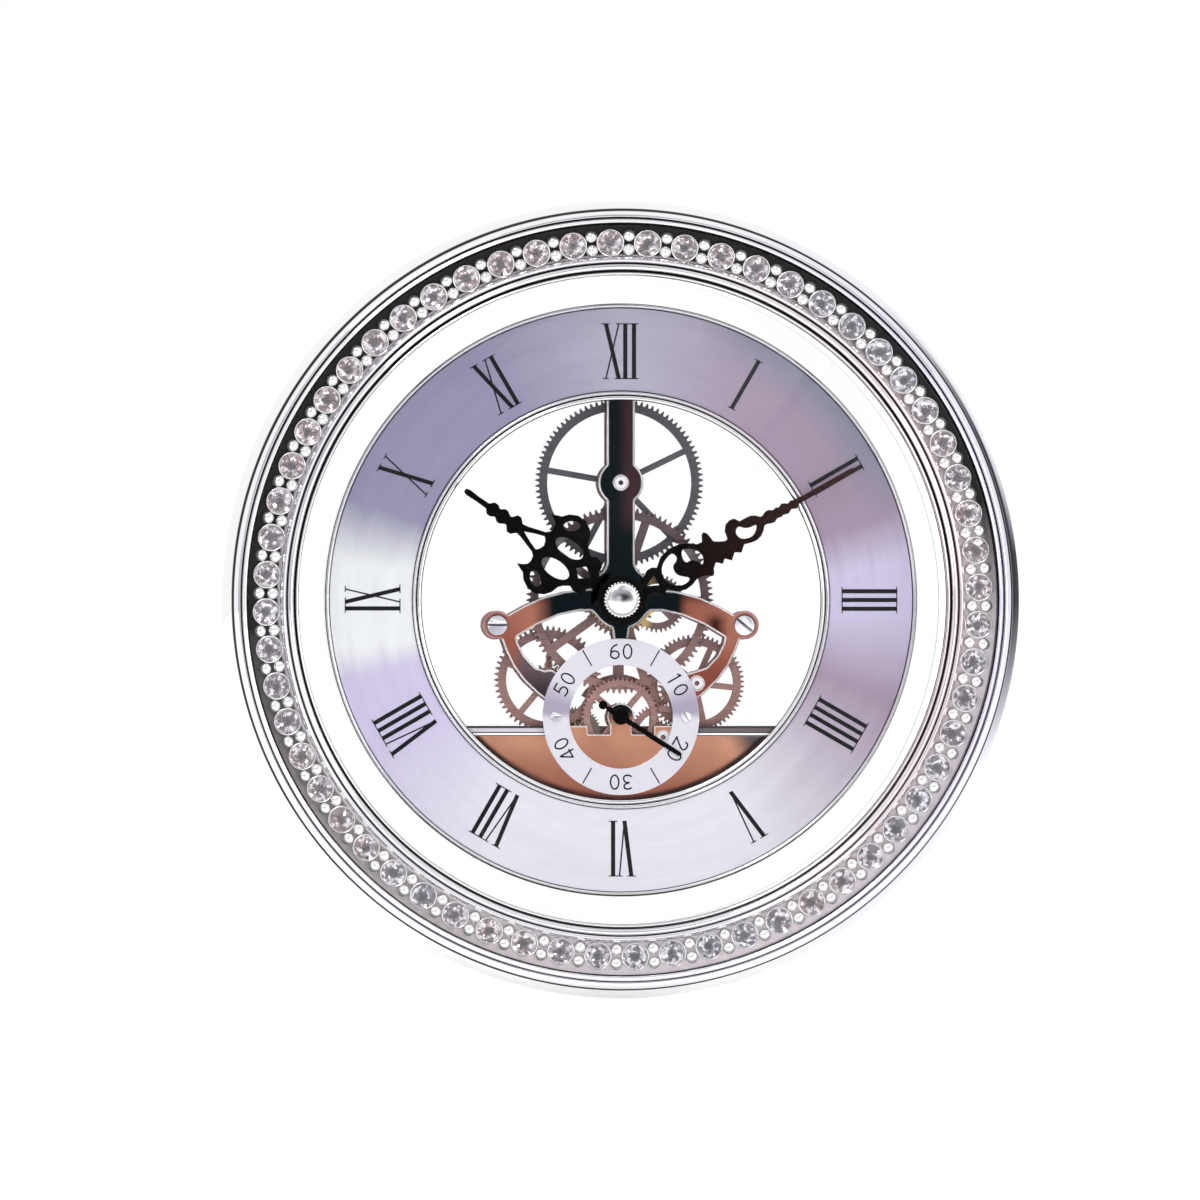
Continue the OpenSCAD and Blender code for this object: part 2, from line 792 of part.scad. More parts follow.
module housing_post_screws() {
    color("silver")
        for (p = posts)
            at(p) {
                difference() {
                    rod(screw_head_r, rear_window_y + glass_t, screw_head_t);
                    translate([-screw_head_r, rear_window_y + glass_t + screw_head_t / 2, -slot_w / 2])
                        cube([2 * screw_head_r, screw_head_t, slot_w]);
                }
                rod(screw_r, rear_window_y - 4 * screw_r, glass_t + 4 * screw_r);
            }
}

// Front bridge: points are shares of the arm's reach, on the left side
arm_shares = [
    [0, 0.11], [-0.21, 0.095], [-0.454, 0.07], [-0.642, 0.02], [-0.785, -0.045], [-0.9, -0.11],
    [-1.02, -0.2], [-0.97, -0.3], [-0.93, -0.41], [-0.87, -0.535], [-0.785, -0.65], [-0.67, -0.76],
    [-0.56, -0.84], [-0.4, -0.8], [0, -0.5]
];
window_shares = [
    [-0.84, -0.3], [-0.67, -0.197], [-0.5, -0.125], [-0.34, -0.09], [-0.236, -0.09], [-0.193, -0.133],
    [-0.073, -0.22], [-0.06, -0.305], [-0.06, -0.4], [-0.2, -0.46], [-0.33, -0.53], [-0.45, -0.59],
    [-0.554, -0.589], [-0.69, -0.545], [-0.78, -0.45], [-0.83, -0.35]
];
flare_shares = [[0.114, 0.29], [0.137, 0.238], [0.185, 0.2], [0.21, 0.14]];
arch_in_r = seconds_dial_in_r + 0.6;
arch_out_r = seconds_dial_r - 0.5;
lug_r = 1.9;
dial_lug_r = 1.4;
dial_ears = [for (s = [-1, 1]) seconds_axis + [s * (arch_in_r + arch_out_r) / 2, 0]];

module bridge_plan(top) {
    difference() {
        union() {
            difference() {
                both_sides()
                    polygon(arm_reach * arm_shares);
                both_sides()
                    polygon(arm_reach * window_shares);
            }
            circle(r = centre_boss_r, $fn = round_fn);
            both_sides()
                polygon(arm_reach * concat([[0, 0.33]], flare_shares, [[0, 0.14]]));
            translate([-bar_w / 2, 0])
                square([bar_w, top]);
            place(top_axis)
                circle(r = top_boss_r, $fn = round_fn);
            for (p = eyelets)
                place(p)
                    circle(r = eyelet_r, $fn = pin_fn);
            intersection() {
                place(seconds_axis)
                    circle(r = arch_out_r, $fn = round_fn);
                translate([-seconds_dial_r, -seconds_drop])
                    square([2 * seconds_dial_r, seconds_dial_r]);
            }
            for (p = [left_axis, right_axis, idler_axis])
                place(p)
                    circle(r = lug_r, $fn = pin_fn);
            for (p = dial_ears)
                place(p)
                    circle(r = dial_lug_r, $fn = pin_fn);
        }
        place(seconds_axis)
            difference() {
                circle(r = arch_in_r, $fn = round_fn);
                for (p = dial_ears)
                    place(p - seconds_axis)
                        circle(r = dial_lug_r, $fn = pin_fn);
            }
    }
}

bridge_top = housing_in_r + bar_seat;
pivot_hole_r = pivot_r + run_clear;
jewel_r = 1.15;
jewel_axes = [top_axis, right_axis];
module front_bridge() {
    color("silver")
        difference() {
            union() {
                slab(bridge_y, bridge_t)
                    bridge_plan(bridge_top);
                for (p = dial_ears)
                    at(p)
                        rod(dial_lug_r - drop_in, bridge_y - seconds_dial_lift, seconds_dial_lift);
            }
            rod(hour_pipe_r + run_clear, bridge_y - over, bridge_t + 2 * over);
            for (p = jewel_axes)
                at(p)
                    rod(jewel_r, bridge_y - over, bridge_t + 2 * over);
            at(left_axis)
                rod(pivot_hole_r, -bridge_t / 2, bridge_t);
            for (p = eyelets)
                at(p)
                    rod(screw_r, bridge_y - over, bridge_t + 2 * over);
            for (p = dial_ears)
                at(p)
                    rod(small_screw_r, seconds_dial_y, over - seconds_dial_y);
        }
}

module bridge_screws() {
    color("silver")
        for (i = [0 : len(eyelets) - 1])
            at(eyelets[i]) {
                slotted_head(screw_head_r, bridge_y - screw_head_t, screw_head_t, 40 * i);
                rod(screw_r, bridge_y, bridge_t + 3 * screw_r);
            }
}

// Bottom plate: a segment of the opening with a neck and a boss at the seconds axis
plate_r = housing_in_r - drop_in;
plate_top_z = -seconds_drop - plate_drop;
notch_depth = 1.6;
notch_w = 4.2;
neck_w = 4.1;
seconds_boss_r = 2.55;
low_pillar_x = 25;
low_pillars = [for (s = [-1, 1]) [s * low_pillar_x, plate_top_z - 2 * pillar_r]];
module bottom_plan() {
    difference() {
        intersection() {
            circle(r = plate_r, $fn = round_fn);
            translate([-plate_r, -plate_r])
                square([2 * plate_r, plate_r + plate_top_z]);
        }
        both_sides()
            translate([neck_w / 2, plate_top_z - notch_depth])
                square([notch_w, notch_depth + over]);
    }
    translate([-neck_w / 2, plate_top_z - notch_depth])
        square([neck_w, notch_depth + plate_drop]);
    place(seconds_axis)
        circle(r = seconds_boss_r, $fn = pin_fn);
}

module bottom_plate() {
    color("silver")
        difference() {
            slab(bridge_y, bridge_t)
                bottom_plan();
            at(seconds_axis)
                rod(arbor_r + run_clear, bridge_y - over, bridge_t + 2 * over);
            at(transfer_axis)
                rod(jewel_r, bridge_y - over, bridge_t + 2 * over);
            at(motor_axis)
                rod(pivot_hole_r, -bridge_t / 2, bridge_t);
        }
}

module pillars() {
    color("silver") {
        for (p = eyelets)
            at(p)
                difference() {
                    rod(pillar_r, 0, pillar_len);
                    rod(screw_r, -over, over + 3.5 * screw_r);
                    rod(screw_r, pillar_len - 3.5 * screw_r, 3.5 * screw_r + over);
                }
        for (p = low_pillars)
            at(p)
                difference() {
                    rod(pillar_r, 0, pillar_len);
                    rod(screw_r, pillar_len - 3.5 * screw_r, 3.5 * screw_r + over);
                }
    }
}

// Arch behind the seconds wheel: a band that ends in a straight leg on the right
arch_rise_share = 0.83;
arch_hole_share = 0.655;
leg_x_share = 0.74;
leg_top_share = 0.53;
module arch_band() {
    r = seconds_dial_in_r;
    place(seconds_axis)
        polygon(concat(
            [for (a = [150 : -10 : 60]) polar(r * arch_rise_share, a)],
            [
                [r * leg_x_share, r * leg_top_share],
                [r * leg_x_share, -plate_drop - over],
                [r * arch_hole_share * 0.9, -plate_drop - over]
            ],
            [for (a = [20 : 10 : 150]) polar(r * arch_hole_share, a)]
        ));
}

module back_body() {
    slab(back_plate_y, back_plate_t)
        arch_band();
    arch_rise = seconds_dial_in_r * arch_rise_share;
    translate([seconds_axis[0] - neck_w / 4, back_plate_y, seconds_axis[1] + arch_rise - over])
        cube([neck_w / 2, back_plate_t, seconds_dial_in_r - arch_rise + 2 * over]);
    slab(back_plate_y, back_plate_t)
        bridge_plan(ear_reach);
    slab(back_plate_y, back_plate_t)
        intersection() {
            circle(r = plate_r, $fn = round_fn);
            translate([-plate_r, bay_top_z + air])
                square([2 * plate_r, plate_top_z - bay_top_z - air]);
        }
    for (s = [-1, 1])
        translate([s * (arch_in_r + arch_out_r) / 2 - lug_r, back_plate_y, plate_top_z - over])
            cube([2 * lug_r, back_plate_t, plate_drop + 2 * over]);
    translate([-neck_w / 2, back_plate_y, plate_top_z - over])
        cube([neck_w, back_plate_t, plate_drop + over]);
    for (p = concat(ears, [seconds_axis]))
        at(p)
            rod(ear_r, back_plate_y, back_plate_t);
    for (a = [ear_bearings[1], ear_bearings[2]])
        rotate([0, -a, 0])
            translate([plate_r - ear_r / 2, back_plate_y, -0.7 * ear_r])
                cube([ear_reach - plate_r + ear_r / 2, back_plate_t, 1.4 * ear_r]);
}

rear_pivots = [top_axis, left_axis, right_axis, transfer_axis, seconds_axis, motor_axis, rotor_axis];
back_pillars = concat(eyelets, low_pillars);
module back_plate() {
    color("silver")
        difference() {
            back_body();
            rod(hand_arbor_r + run_clear, back_plate_y - over, back_plate_t + 2 * over);
            for (p = rear_pivots)
                at(p)
                    rod(pivot_hole_r, back_plate_y - over, back_plate_t + 2 * over);
            for (p = back_pillars)
                at(p)
                    rod(screw_r, back_plate_y - over, back_plate_t + 2 * over);
            for (p = ears)
                at(p)
                    rod(small_screw_r, back_plate_y - over, back_plate_t + 2 * over);
        }
}

module back_plate_screws() {
    back = back_plate_y + back_plate_t;
    color("silver") {
        for (p = back_pillars)
            at(p) {
                difference() {
                    rod(screw_head_r, back, screw_head_t);
                    translate([-screw_head_r, back + screw_head_t / 2, -slot_w / 2])
                        cube([2 * screw_head_r, screw_head_t, slot_w]);
                }
                rod(screw_r, back - back_plate_t - 3 * screw_r, back_plate_t + 3 * screw_r);
            }
        for (p = ears)
            at(p) {
                rod(2 * small_screw_r, back, small_head_t);
                rod(small_screw_r, back - back_plate_t - 4 * small_screw_r, back_plate_t + 4 * small_screw_r);
            }
    }
}

jewel_lift = 0.1;
module pivot_jewels() {
    color("aliceblue")
        for (p = concat(jewel_axes, [transfer_axis]))
            at(p)
                difference() {
                    rod(jewel_r, bridge_y - jewel_lift, bridge_t + jewel_lift);
                    rod(pivot_hole_r, bridge_y - over, bridge_t + 2 * over);
                }
}

// Seconds dial

module seconds_dial() {
    color("lightgray")
        difference() {
            slab(seconds_dial_y, dial_t)
                place(seconds_axis)
                    difference() {
                        circle(r = seconds_dial_r, $fn = round_fn);
                        circle(r = seconds_dial_in_r, $fn = round_fn);
                    }
            for (p = dial_ears)
                at(p)
                    rod(small_screw_r, seconds_dial_y - over, dial_t + 2 * over);
        }
}

module seconds_dial_screws() {
    color("silver")
        for (i = [0 : len(dial_ears) - 1])
            at(dial_ears[i]) {
                difference() {
                    rod(small_head_r, seconds_dial_y - dial_head_t, dial_head_t);
                    translate([0, seconds_dial_y - dial_head_t, 0])
                        rotate([0, 60 * i, 0])
                            translate([-small_head_r, -over, -slot_w / 4])
                                cube([2 * small_head_r, over + dial_head_t / 2, slot_w / 2]);
                }
                rod(small_screw_r, seconds_dial_y, -seconds_dial_y - drop_in);
            }
}

// Digits are ribbons and oval rings, in shares of the digit's height.
// A ring is [centre, half width, half height].
digit_h = 2.9;
digit_wide = 1.28;
digit_stroke_share = 0.1;
digit_advance_share = 0.84;
digit_curve_shares = [
    [],
    [[[0.12, 0.8], [0.27, 0.95]], [[0.27, 1], [0.27, 0.5], [0.27, 0]]],
    [
        [[0.05, 0.7], [0.1, 0.88], [0.26, 0.95], [0.42, 0.88], [0.44, 0.68], [0.3, 0.42], [0.06, 0.06]],
        [[0, 0.05], [0.25, 0.05], [0.5, 0.05]]
    ],
    [
        [[0.04, 0.86], [0.22, 0.95], [0.4, 0.88], [0.4, 0.66], [0.2, 0.55]],
        [[0.14, 0.53], [0.36, 0.49], [0.45, 0.3], [0.4, 0.1], [0.22, 0.05], [0.03, 0.14]]
    ],
    [
        [[0.38, 0], [0.38, 0.5], [0.38, 1]],
        [[0.35, 0.95], [0.2, 0.62], [0.04, 0.28]],
        [[0, 0.27], [0.25, 0.27], [0.5, 0.27]]
    ],
    [
        [[0.46, 0.95], [0.27, 0.95], [0.06, 0.95]],
        [[0.1, 0.98], [0.07, 0.55]],
        [[0.04, 0.53], [0.24, 0.58], [0.42, 0.48], [0.44, 0.25], [0.3, 0.07], [0.03, 0.11]]
    ],
    [[[0.4, 0.96], [0.2, 0.84], [0.08, 0.62], [0.06, 0.36]]]
];
digit_ring_shares = [
    [[[0.25, 0.5], [0.25, 0.5]]], [], [], [], [], [], [[[0.26, 0.29], [0.25, 0.29]]]
];
seconds_words = ["60", "10", "20", "30", "40", "50"];
tick_bearings = [-30, 30, 150, 210];
tick_w = 0.22;
tick_share = 0.68;
digit_band_share = 0.51;
function widened(path) = [for (p = path) digit_h * [digit_wide * p[0], p[1]]];
module digit(c) {
    which = ord(c) - ord("0");
    stroke_w = digit_h * digit_stroke_share;
    for (path = digit_curve_shares[which])
        slab(seconds_dial_y - ink_t, ink_t)
            polygon(ribbon(open_curve(widened(path), 3), stroke_w));
    for (oval = digit_ring_shares[which])
        slab(seconds_dial_y - ink_t, ink_t)
            difference() {
                polygon(widened(ellipse(oval[0], oval[1][0], oval[1][1], 0, oval_n)));
                polygon(widened(ellipse(
                    oval[0],
                    oval[1][0] - digit_stroke_share / digit_wide,
                    oval[1][1] - digit_stroke_share,
                    0, oval_n
                )));
            }
}

module seconds_numerals() {
    dial_band = seconds_dial_r - seconds_dial_in_r;
    band = seconds_dial_in_r + digit_band_share * dial_band;
    advance = digit_h * digit_advance_share;
    tick_len = tick_share * dial_band;
    color("black")
        at(seconds_axis) {
            for (n = [0 : len(seconds_words) - 1])
                rotate([0, 360 * n / len(seconds_words), 0])
                    for (k = [0, 1])
                        translate([(k - 0.5) * advance - digit_h * digit_wide / 4, 0, band - digit_h / 2])
                            digit(seconds_words[n][k]);
            for (a = tick_bearings)
                rotate([0, a, 0])
                    translate([-tick_w / 2, seconds_dial_y - ink_t, seconds_dial_r - over / 2 - tick_len])
                        cube([tick_w, ink_t, tick_len]);
        }
}

// Wheels

module top_wheel() {
    color("dimgray") {
        at(top_axis) {
            spoked(top_teeth, top_m, top_phase, train_wheel_y, wheel_t, top_spokes,
                2 * arbor_r, rim_w, arbor_r / 2);
            arbor(air, back_plate_y - air, air + bridge_t / 2, air + back_plate_t / 2);
        }
    }
}

centre_hub_r = 2.6;
module centre_wheel() {
    back = train_wheel_y + wheel_t + air;
    color("rosybrown")
        difference() {
            union() {
                spoked(centre_teeth, train_m, centre_phase, centre_wheel_y, wheel_t, centre_spokes,
                    centre_hub_r, rim_w, hand_arbor_r / 2, 1.4 * spoke_w);
                rod(centre_hub_r, centre_wheel_y, back - centre_wheel_y);
                gear(top_drive_teeth, top_m, top_drive_phase, train_wheel_y - air, wheel_t + 2 * air);
            }
            rod(hand_arbor_r + run_clear, -over, pillar_len);
        }
}

knob_y = rear_window_y + 0.5 * glass_t;
knob_len = glass_t + 1.2;
knob_r = 4.5;
module centre_arbor() {
    back = motion_wheel_y + small_wheel_t + drop_in;
    color("darkgray") {
        rod(hand_arbor_r, washer_y - 0.6 * nut_t, knob_y - washer_y + 0.6 * nut_t + knob_len / 2);
        rod(cannon_r, minute_hand_y, back - minute_hand_y);
        gear(cannon_teeth, cannon_m, cannon_phase, motion_wheel_y - drop_in, small_wheel_t + 2 * drop_in);
    }
}

module hour_wheel() {
    color("goldenrod")
        difference() {
            union() {
                gear(hour_teeth, hour_m, hour_phase, hour_wheel_y, small_wheel_t);
                rod(hour_pipe_r, hour_hand_y, hour_wheel_y - hour_hand_y);
            }
            rod(hour_pipe_in_r, hour_hand_y - over, small_wheel_t + hour_wheel_y - hour_hand_y + 2 * over);
        }
}

stud_r = 0.6;
stud_head_r = 1.1;
stud_head_t = 0.3;
small_rim_w = 0.8 * rim_w;
module motion_wheel() {
    color("goldenrod")
        at(motion_axis)
            difference() {
                union() {
                    spoked(motion_teeth, cannon_m, motion_phase, motion_wheel_y, small_wheel_t, motion_spokes,
                        2 * stud_r, small_rim_w, stud_r / 2);
                    gear(motion_pinion_teeth, hour_m, motion_pinion_phase, hour_wheel_y - drop_in / 2,
                        motion_wheel_y - hour_wheel_y + drop_in / 2);
                }
                rod(stud_r + run_clear, -over, pillar_len);
            }
}

module motion_stud() {
    len = motion_wheel_y + small_wheel_t + drop_in;
    color("silver")
        at(motion_axis) {
            rod(stud_r, 0, len);
            rod(stud_head_r, len, stud_head_t);
        }
}

module left_wheel() {
    color("rosybrown")
        at(left_axis) {
            spoked(left_teeth, left_m, 0, train_wheel_y, wheel_t, left_spokes,
                2 * arbor_r, rim_w, arbor_r / 2);
            gear(left_pinion_teeth, train_m, left_pinion_phase, centre_wheel_y - air, wheel_t + 2 * air);
            arbor(air, back_plate_y - air, air + bridge_t / 4, air + back_plate_t / 2);
        }
}

module right_wheel() {
    color("rosybrown")
        at(right_axis) {
            spoked(right_teeth, right_m, right_phase, train_wheel_y, wheel_t, right_spokes,
                2 * arbor_r, rim_w, arbor_r / 2);
            gear(right_pinion_teeth, train_m, right_pinion_phase, centre_wheel_y - air, wheel_t + 2 * air);
            arbor(air, back_plate_y - air, air + bridge_t / 2, air + back_plate_t / 2);
        }
}

module idler_wheel() {
    color("rosybrown")
        at(idler_axis)
            difference() {
                gear(idler_teeth, train_m, idler_phase, centre_wheel_y - drop_in, wheel_t + 2 * drop_in);
                rod(stud_r + run_clear, -over, pillar_len);
            }
}

module idler_stud() {
    len = centre_wheel_y + wheel_t + 2 * drop_in;
    color("silver")
        at(idler_axis) {
            rod(stud_r, 0, len);
            rod(stud_head_r, len, stud_head_t);
        }
}

module transfer_wheel() {
    color("rosybrown")
        at(transfer_axis) {
            spoked(transfer_teeth, transfer_m, transfer_phase, transfer_wheel_y, small_wheel_t, transfer_spokes,
                2 * arbor_r, small_rim_w, arbor_r / 2);
            gear(transfer_pinion_teeth, right_m, transfer_pinion_phase,
                train_wheel_y - air / 2, wheel_t + air);
            arbor(air, back_plate_y - air, air + bridge_t / 2, air + back_plate_t / 2);
        }
}

module seconds_wheel() {
    color("rosybrown")
        at(seconds_axis) {
            spoked(seconds_teeth, seconds_m, seconds_phase, seconds_wheel_y, small_wheel_t, seconds_spokes,
                2 * arbor_r, small_rim_w, arbor_r / 2);
            gear(seconds_pinion_teeth, transfer_m, seconds_pinion_phase,
                transfer_wheel_y - drop_in, small_wheel_t + 2 * drop_in);
            rod(arbor_r, hand_seat_y, back_plate_y - air - hand_seat_y);
            rod(pivot_r, back_plate_y - air, air + back_plate_t / 2);
        }
}

module intermediate_wheel() {
    color("khaki")
        at(motor_axis) {
            gear(motor_pinion_teeth, seconds_m, motor_pinion_phase,
                seconds_wheel_y - drop_in, small_wheel_t + 2 * drop_in);
            gear(motor_teeth, motor_m, motor_phase, motor_wheel_y, small_wheel_t);
            arbor(air, back_plate_y - air, air + bridge_t / 4, air + back_plate_t / 2);
        }
}

// Motor: a two-pole rotor in a stator bridged by a coil
magnet_r = 1.6;
magnet_len = 2.2;
motor_front_y = transfer_wheel_y + small_wheel_t + air;
motor_wall = 0.6;
magnet_y = motor_front_y + motor_wall + air;
rotor_pinion_y = motor_wheel_y - drop_in;
module rotor_pinion() {
    color("khaki")
        at(rotor_axis) {
            gear(rotor_teeth, motor_m, rotor_phase, rotor_pinion_y, small_wheel_t + 2 * drop_in);
            rod(pivot_r, motor_front_y + motor_wall / 2,
                back_plate_y + back_plate_t / 2 - motor_front_y - motor_wall / 2);
        }
}

module rotor_magnet() {
    color("dimgray")
        at(rotor_axis)
            difference() {
                rod(magnet_r, magnet_y, magnet_len);
                rod(pivot_r, magnet_y - over, magnet_len + 2 * over);
            }
}

stator_t = 0.6;
stator_y = magnet_y + magnet_len / 2 - stator_t / 2;
coil_r = 1.3;
coil_len = 8.4;
coil_x = -1.8;
stator_gap = 0.3;
stator_hole_r = magnet_r + stator_gap;
stator_side = 1.6;
stator_foot_z = bay_top_z + air + motor_wall + drop_in;
stator_head_z = rotor_axis[1] + stator_hole_r + 0.4;
foot_h = 0.9;
coil_z = stator_foot_z + foot_h + drop_in + coil_r;
core_r = 0.8;
coil_left_x = coil_x - coil_len / 2;
coil_right_x = coil_x + coil_len / 2;

// The stator's plate runs round to the far end of the core
module stator() {
    left = rotor_axis[0] - stator_hole_r - stator_side;
    color("slategray")
        slab(stator_y, stator_t)
            difference() {
                polygon([
                    [left, stator_foot_z],
                    [coil_right_x + foot_h, stator_foot_z],
                    [coil_right_x + foot_h, coil_z + core_r],
                    [coil_right_x, coil_z + core_r],
                    [coil_right_x, stator_foot_z + foot_h],
                    [coil_left_x, stator_foot_z + foot_h],
                    [coil_left_x, stator_head_z],
                    [left, stator_head_z]
                ]);
                place(rotor_axis)
                    circle(r = stator_hole_r, $fn = pin_fn);
            }
}

module coil() {
    color("chocolate")
        translate([coil_x, stator_y + stator_t / 2, coil_z])
            rotate([0, 90, 0])
                difference() {
                    translate([0, 0, -coil_len / 2])
                        cylinder(r = coil_r, h = coil_len, $fn = round_fn);
                    translate([0, 0, -coil_len])
                        cylinder(r = core_r, h = 2 * coil_len, $fn = pin_fn);
                }
}

module coil_core() {
    color("slategray")
        translate([coil_left_x, stator_y + stator_t / 2, coil_z])
            rotate([0, 90, 0])
                cylinder(r = core_r, h = coil_len, $fn = pin_fn);
}

motor_left_x = -20;
motor_right_x = 4.4;
motor_top_z = plate_top_z - notch_depth - 0.9;
motor_bottom_z = bay_top_z + air;
module motor_housing() {
    len = back_plate_y - motor_front_y;
    wide = motor_right_x - motor_left_x;
    tall = motor_top_z - motor_bottom_z;
    color("whitesmoke")
        difference() {
            translate([motor_left_x, motor_front_y, motor_bottom_z])
                cube([wide, len, tall]);
            translate([motor_left_x + motor_wall, motor_front_y + motor_wall, motor_bottom_z + motor_wall])
                cube([wide - 2 * motor_wall, len, tall - 2 * motor_wall]);
            at(rotor_axis)
                rod(pivot_hole_r, motor_front_y - over, motor_wall + 2 * over);
            at(motor_axis) {
                rod(motor_teeth * motor_m / 2 + motor_m + air, motor_wheel_y - air, len);
                rod(arbor_r + air, motor_front_y - over, len);
            }
        }
}

// Electronics on the back of the plate, under a cover
cover_y = back_plate_y + back_plate_t;
cover_depth = 4.2;
cover_wall = 0.8;
cover_half_w = 19;
cover_top_z = plate_top_z - 0.4;
cover_bottom_z = bay_top_z + air;
board_lift = 0.4;
board_t = 0.8;
board_inset = cover_wall + drop_in;
module circuit_board() {
    color("darkgreen")
        difference() {
            translate([-cover_half_w + board_inset, cover_y + board_lift, cover_bottom_z + board_inset])
                cube([
                    2 * cover_half_w - 2 * board_inset,
                    board_t,
                    cover_top_z - cover_bottom_z - 2 * board_inset
                ]);
            for (p = concat([transfer_axis, motor_axis, rotor_axis]))
                at(p)
                    rod(lug_r, cover_y, 2 * board_t + board_lift);
        }
}

module movement_cover() {
    color("whitesmoke")
        difference() {
            translate([-cover_half_w, cover_y, cover_bottom_z])
                cube([2 * cover_half_w, cover_depth, cover_top_z - cover_bottom_z]);
            translate([-cover_half_w + cover_wall, cover_y - over, cover_bottom_z + cover_wall])
                cube([
                    2 * cover_half_w - 2 * cover_wall,
                    cover_depth - cover_wall + over,
                    cover_top_z - cover_bottom_z - 2 * cover_wall
                ]);
        }
}

parts_y = cover_y + board_lift + board_t;
parts_z = (cover_top_z + cover_bottom_z) / 2;
chip_r = 1.8;
chip_t = 0.7;
module chip() {
    color("black")
        at([0, parts_z])
            taper(chip_r, 0.7 * chip_r, parts_y, chip_t);
}

crystal_r = 0.95;
crystal_len = 6;
module quartz_crystal() {
    color("silver")
        translate([-cover_half_w / 2 - crystal_len / 2 - 2, parts_y + crystal_r, parts_z - 1])
            rotate([0, 90, 0])
                cylinder(r = crystal_r, h = crystal_len, $fn = pin_fn);
}

// Battery

cap_r = 2.7;
cap_len = 1;
module battery() {
    color("slategray")
        translate([-battery_len / 2, battery_y, battery_z])
            rotate([0, 90, 0]) {
                cylinder(r = battery_d / 2, h = battery_len - cap_len, $fn = round_fn);
                translate([0, 0, battery_len - cap_len])
                    cylinder(r = cap_r, h = cap_len, $fn = pin_fn);
            }
}

contact_t = 0.4;
contact_w = 8;
module battery_contacts() {
    gap = drop_in;
    wall_x = bay_half_w - bay_wall;
    spring_x = battery_len / 2 + gap + contact_t;
    color("silver")
        for (s = [-1, 1])
            translate([s * (battery_len / 2 + gap + contact_t / 2), battery_y, battery_z])
                cube([contact_t, contact_w, contact_w], center = true);
    color("silver")
        for (s = [-1, 1])
            translate([s * (wall_x + spring_x) / 2, battery_y + contact_w / 2 - contact_t / 2, battery_z])
                cube([wall_x - spring_x, contact_t, contact_w], center = true);
}

cover_play = 0.2;
module battery_cover() {
    color("dimgray")
        translate([-bay_half_w + cover_play, rear_window_y + drop_in, bay_bottom_z + cover_play])
            cube([
                2 * (bay_half_w - cover_play),
                glass_t,
                bay_top_z - bay_bottom_z - 2 * cover_play
            ]);
}

knob_flutes = 24;
flute_share = 0.06;
// Round outline with fine flutes
function fluted(r, flutes, depth) = [
    for (i = [0 : 4 * flutes - 1])
        polar(r - depth * (1 - cos(90 * i)) / 2, 90 * i / flutes)
];
module setting_knob() {
    color("dimgray")
        difference() {
            slab(knob_y, knob_len)
                polygon(fluted(knob_r, knob_flutes, knob_r * flute_share));
            rod(hand_arbor_r, knob_y - over, over + knob_len / 2);
        }
}

// Hands: outlines on the hand's own axis, pointing up.
// The hour hand's points are in 36ths of its length and the minute hand's in 51sts.
hour_unit = hour_reach / 36;
hour_side_shares = [
    [-0.2, 36], [-0.45, 35.8], [-0.6, 35.1], [-0.5, 33], [-0.55, 30.8], [-1.3, 30.1], [-1.35, 29.3],
    [-0.85, 28.5], [-1.45, 27.7], [-1.45, 27.1], [-0.9, 26.2], [-0.95, 25.8], [-1.85, 25.1],
    [-1.85, 24.3], [-1, 23.4], [-1.2, 22.3], [-1.75, 20.6], [-2.2, 19.1], [-2.8, 18.4], [-3.8, 18.2],
    [-4.6, 18.4], [-5.15, 19.1], [-5.65, 20.1], [-6.1, 19], [-6.4, 18.2], [-7.5, 17.3], [-8.3, 15.8],
    [-8.3, 14], [-7.5, 12.5], [-6.3, 11.6], [-4.9, 11.2], [-4.1, 10.5], [-3.4, 9.4], [-3.85, 8.5],
    [-3.7, 7.3], [-2.9, 6.5], [-1.9, 6.5], [-1.2, 5.9], [-1.3, 3.6]
];
// Openings of the hour hand: centre, half axes and turn
hour_oval_shares = [[[-2.3, 13.6], 1.55, 3, 0], [[-6, 15.6], 1.6, 0.95, 52]];
hour_fork_shares = [
    [0, 22.4], [-0.9, 20.4], [-1.5, 18.7], [-1, 18.2], [0, 17.8], [1, 18.2], [1.5, 18.7], [0.9, 20.4]
];
hour_diamond_shares = [[0, 10.4], [-1.35, 9], [0, 7.1], [1.35, 9]];
oval_n = 20;

module hour_plan() {
    difference() {
        polygon(hour_unit * concat(hour_side_shares, mirrored(hour_side_shares)));
        both_sides() {
            for (o = hour_oval_shares)
                polygon(hour_unit * ellipse(o[0], o[1], o[2], o[3], oval_n));
        }
        polygon(hour_unit * hour_fork_shares);
        polygon(hour_unit * hour_diamond_shares);
    }
}

module hour_hand() {
    color("black")
        difference() {
            union() {
                rotate([0, hour_angle, 0])
                    slab(hour_hand_y, hand_t)
                        hour_plan();
                rod(hub_r, hour_hand_y, hand_t, round_fn);
            }
            rod(hour_pipe_r, hour_hand_y - over, hand_t + 2 * over);
        }
}

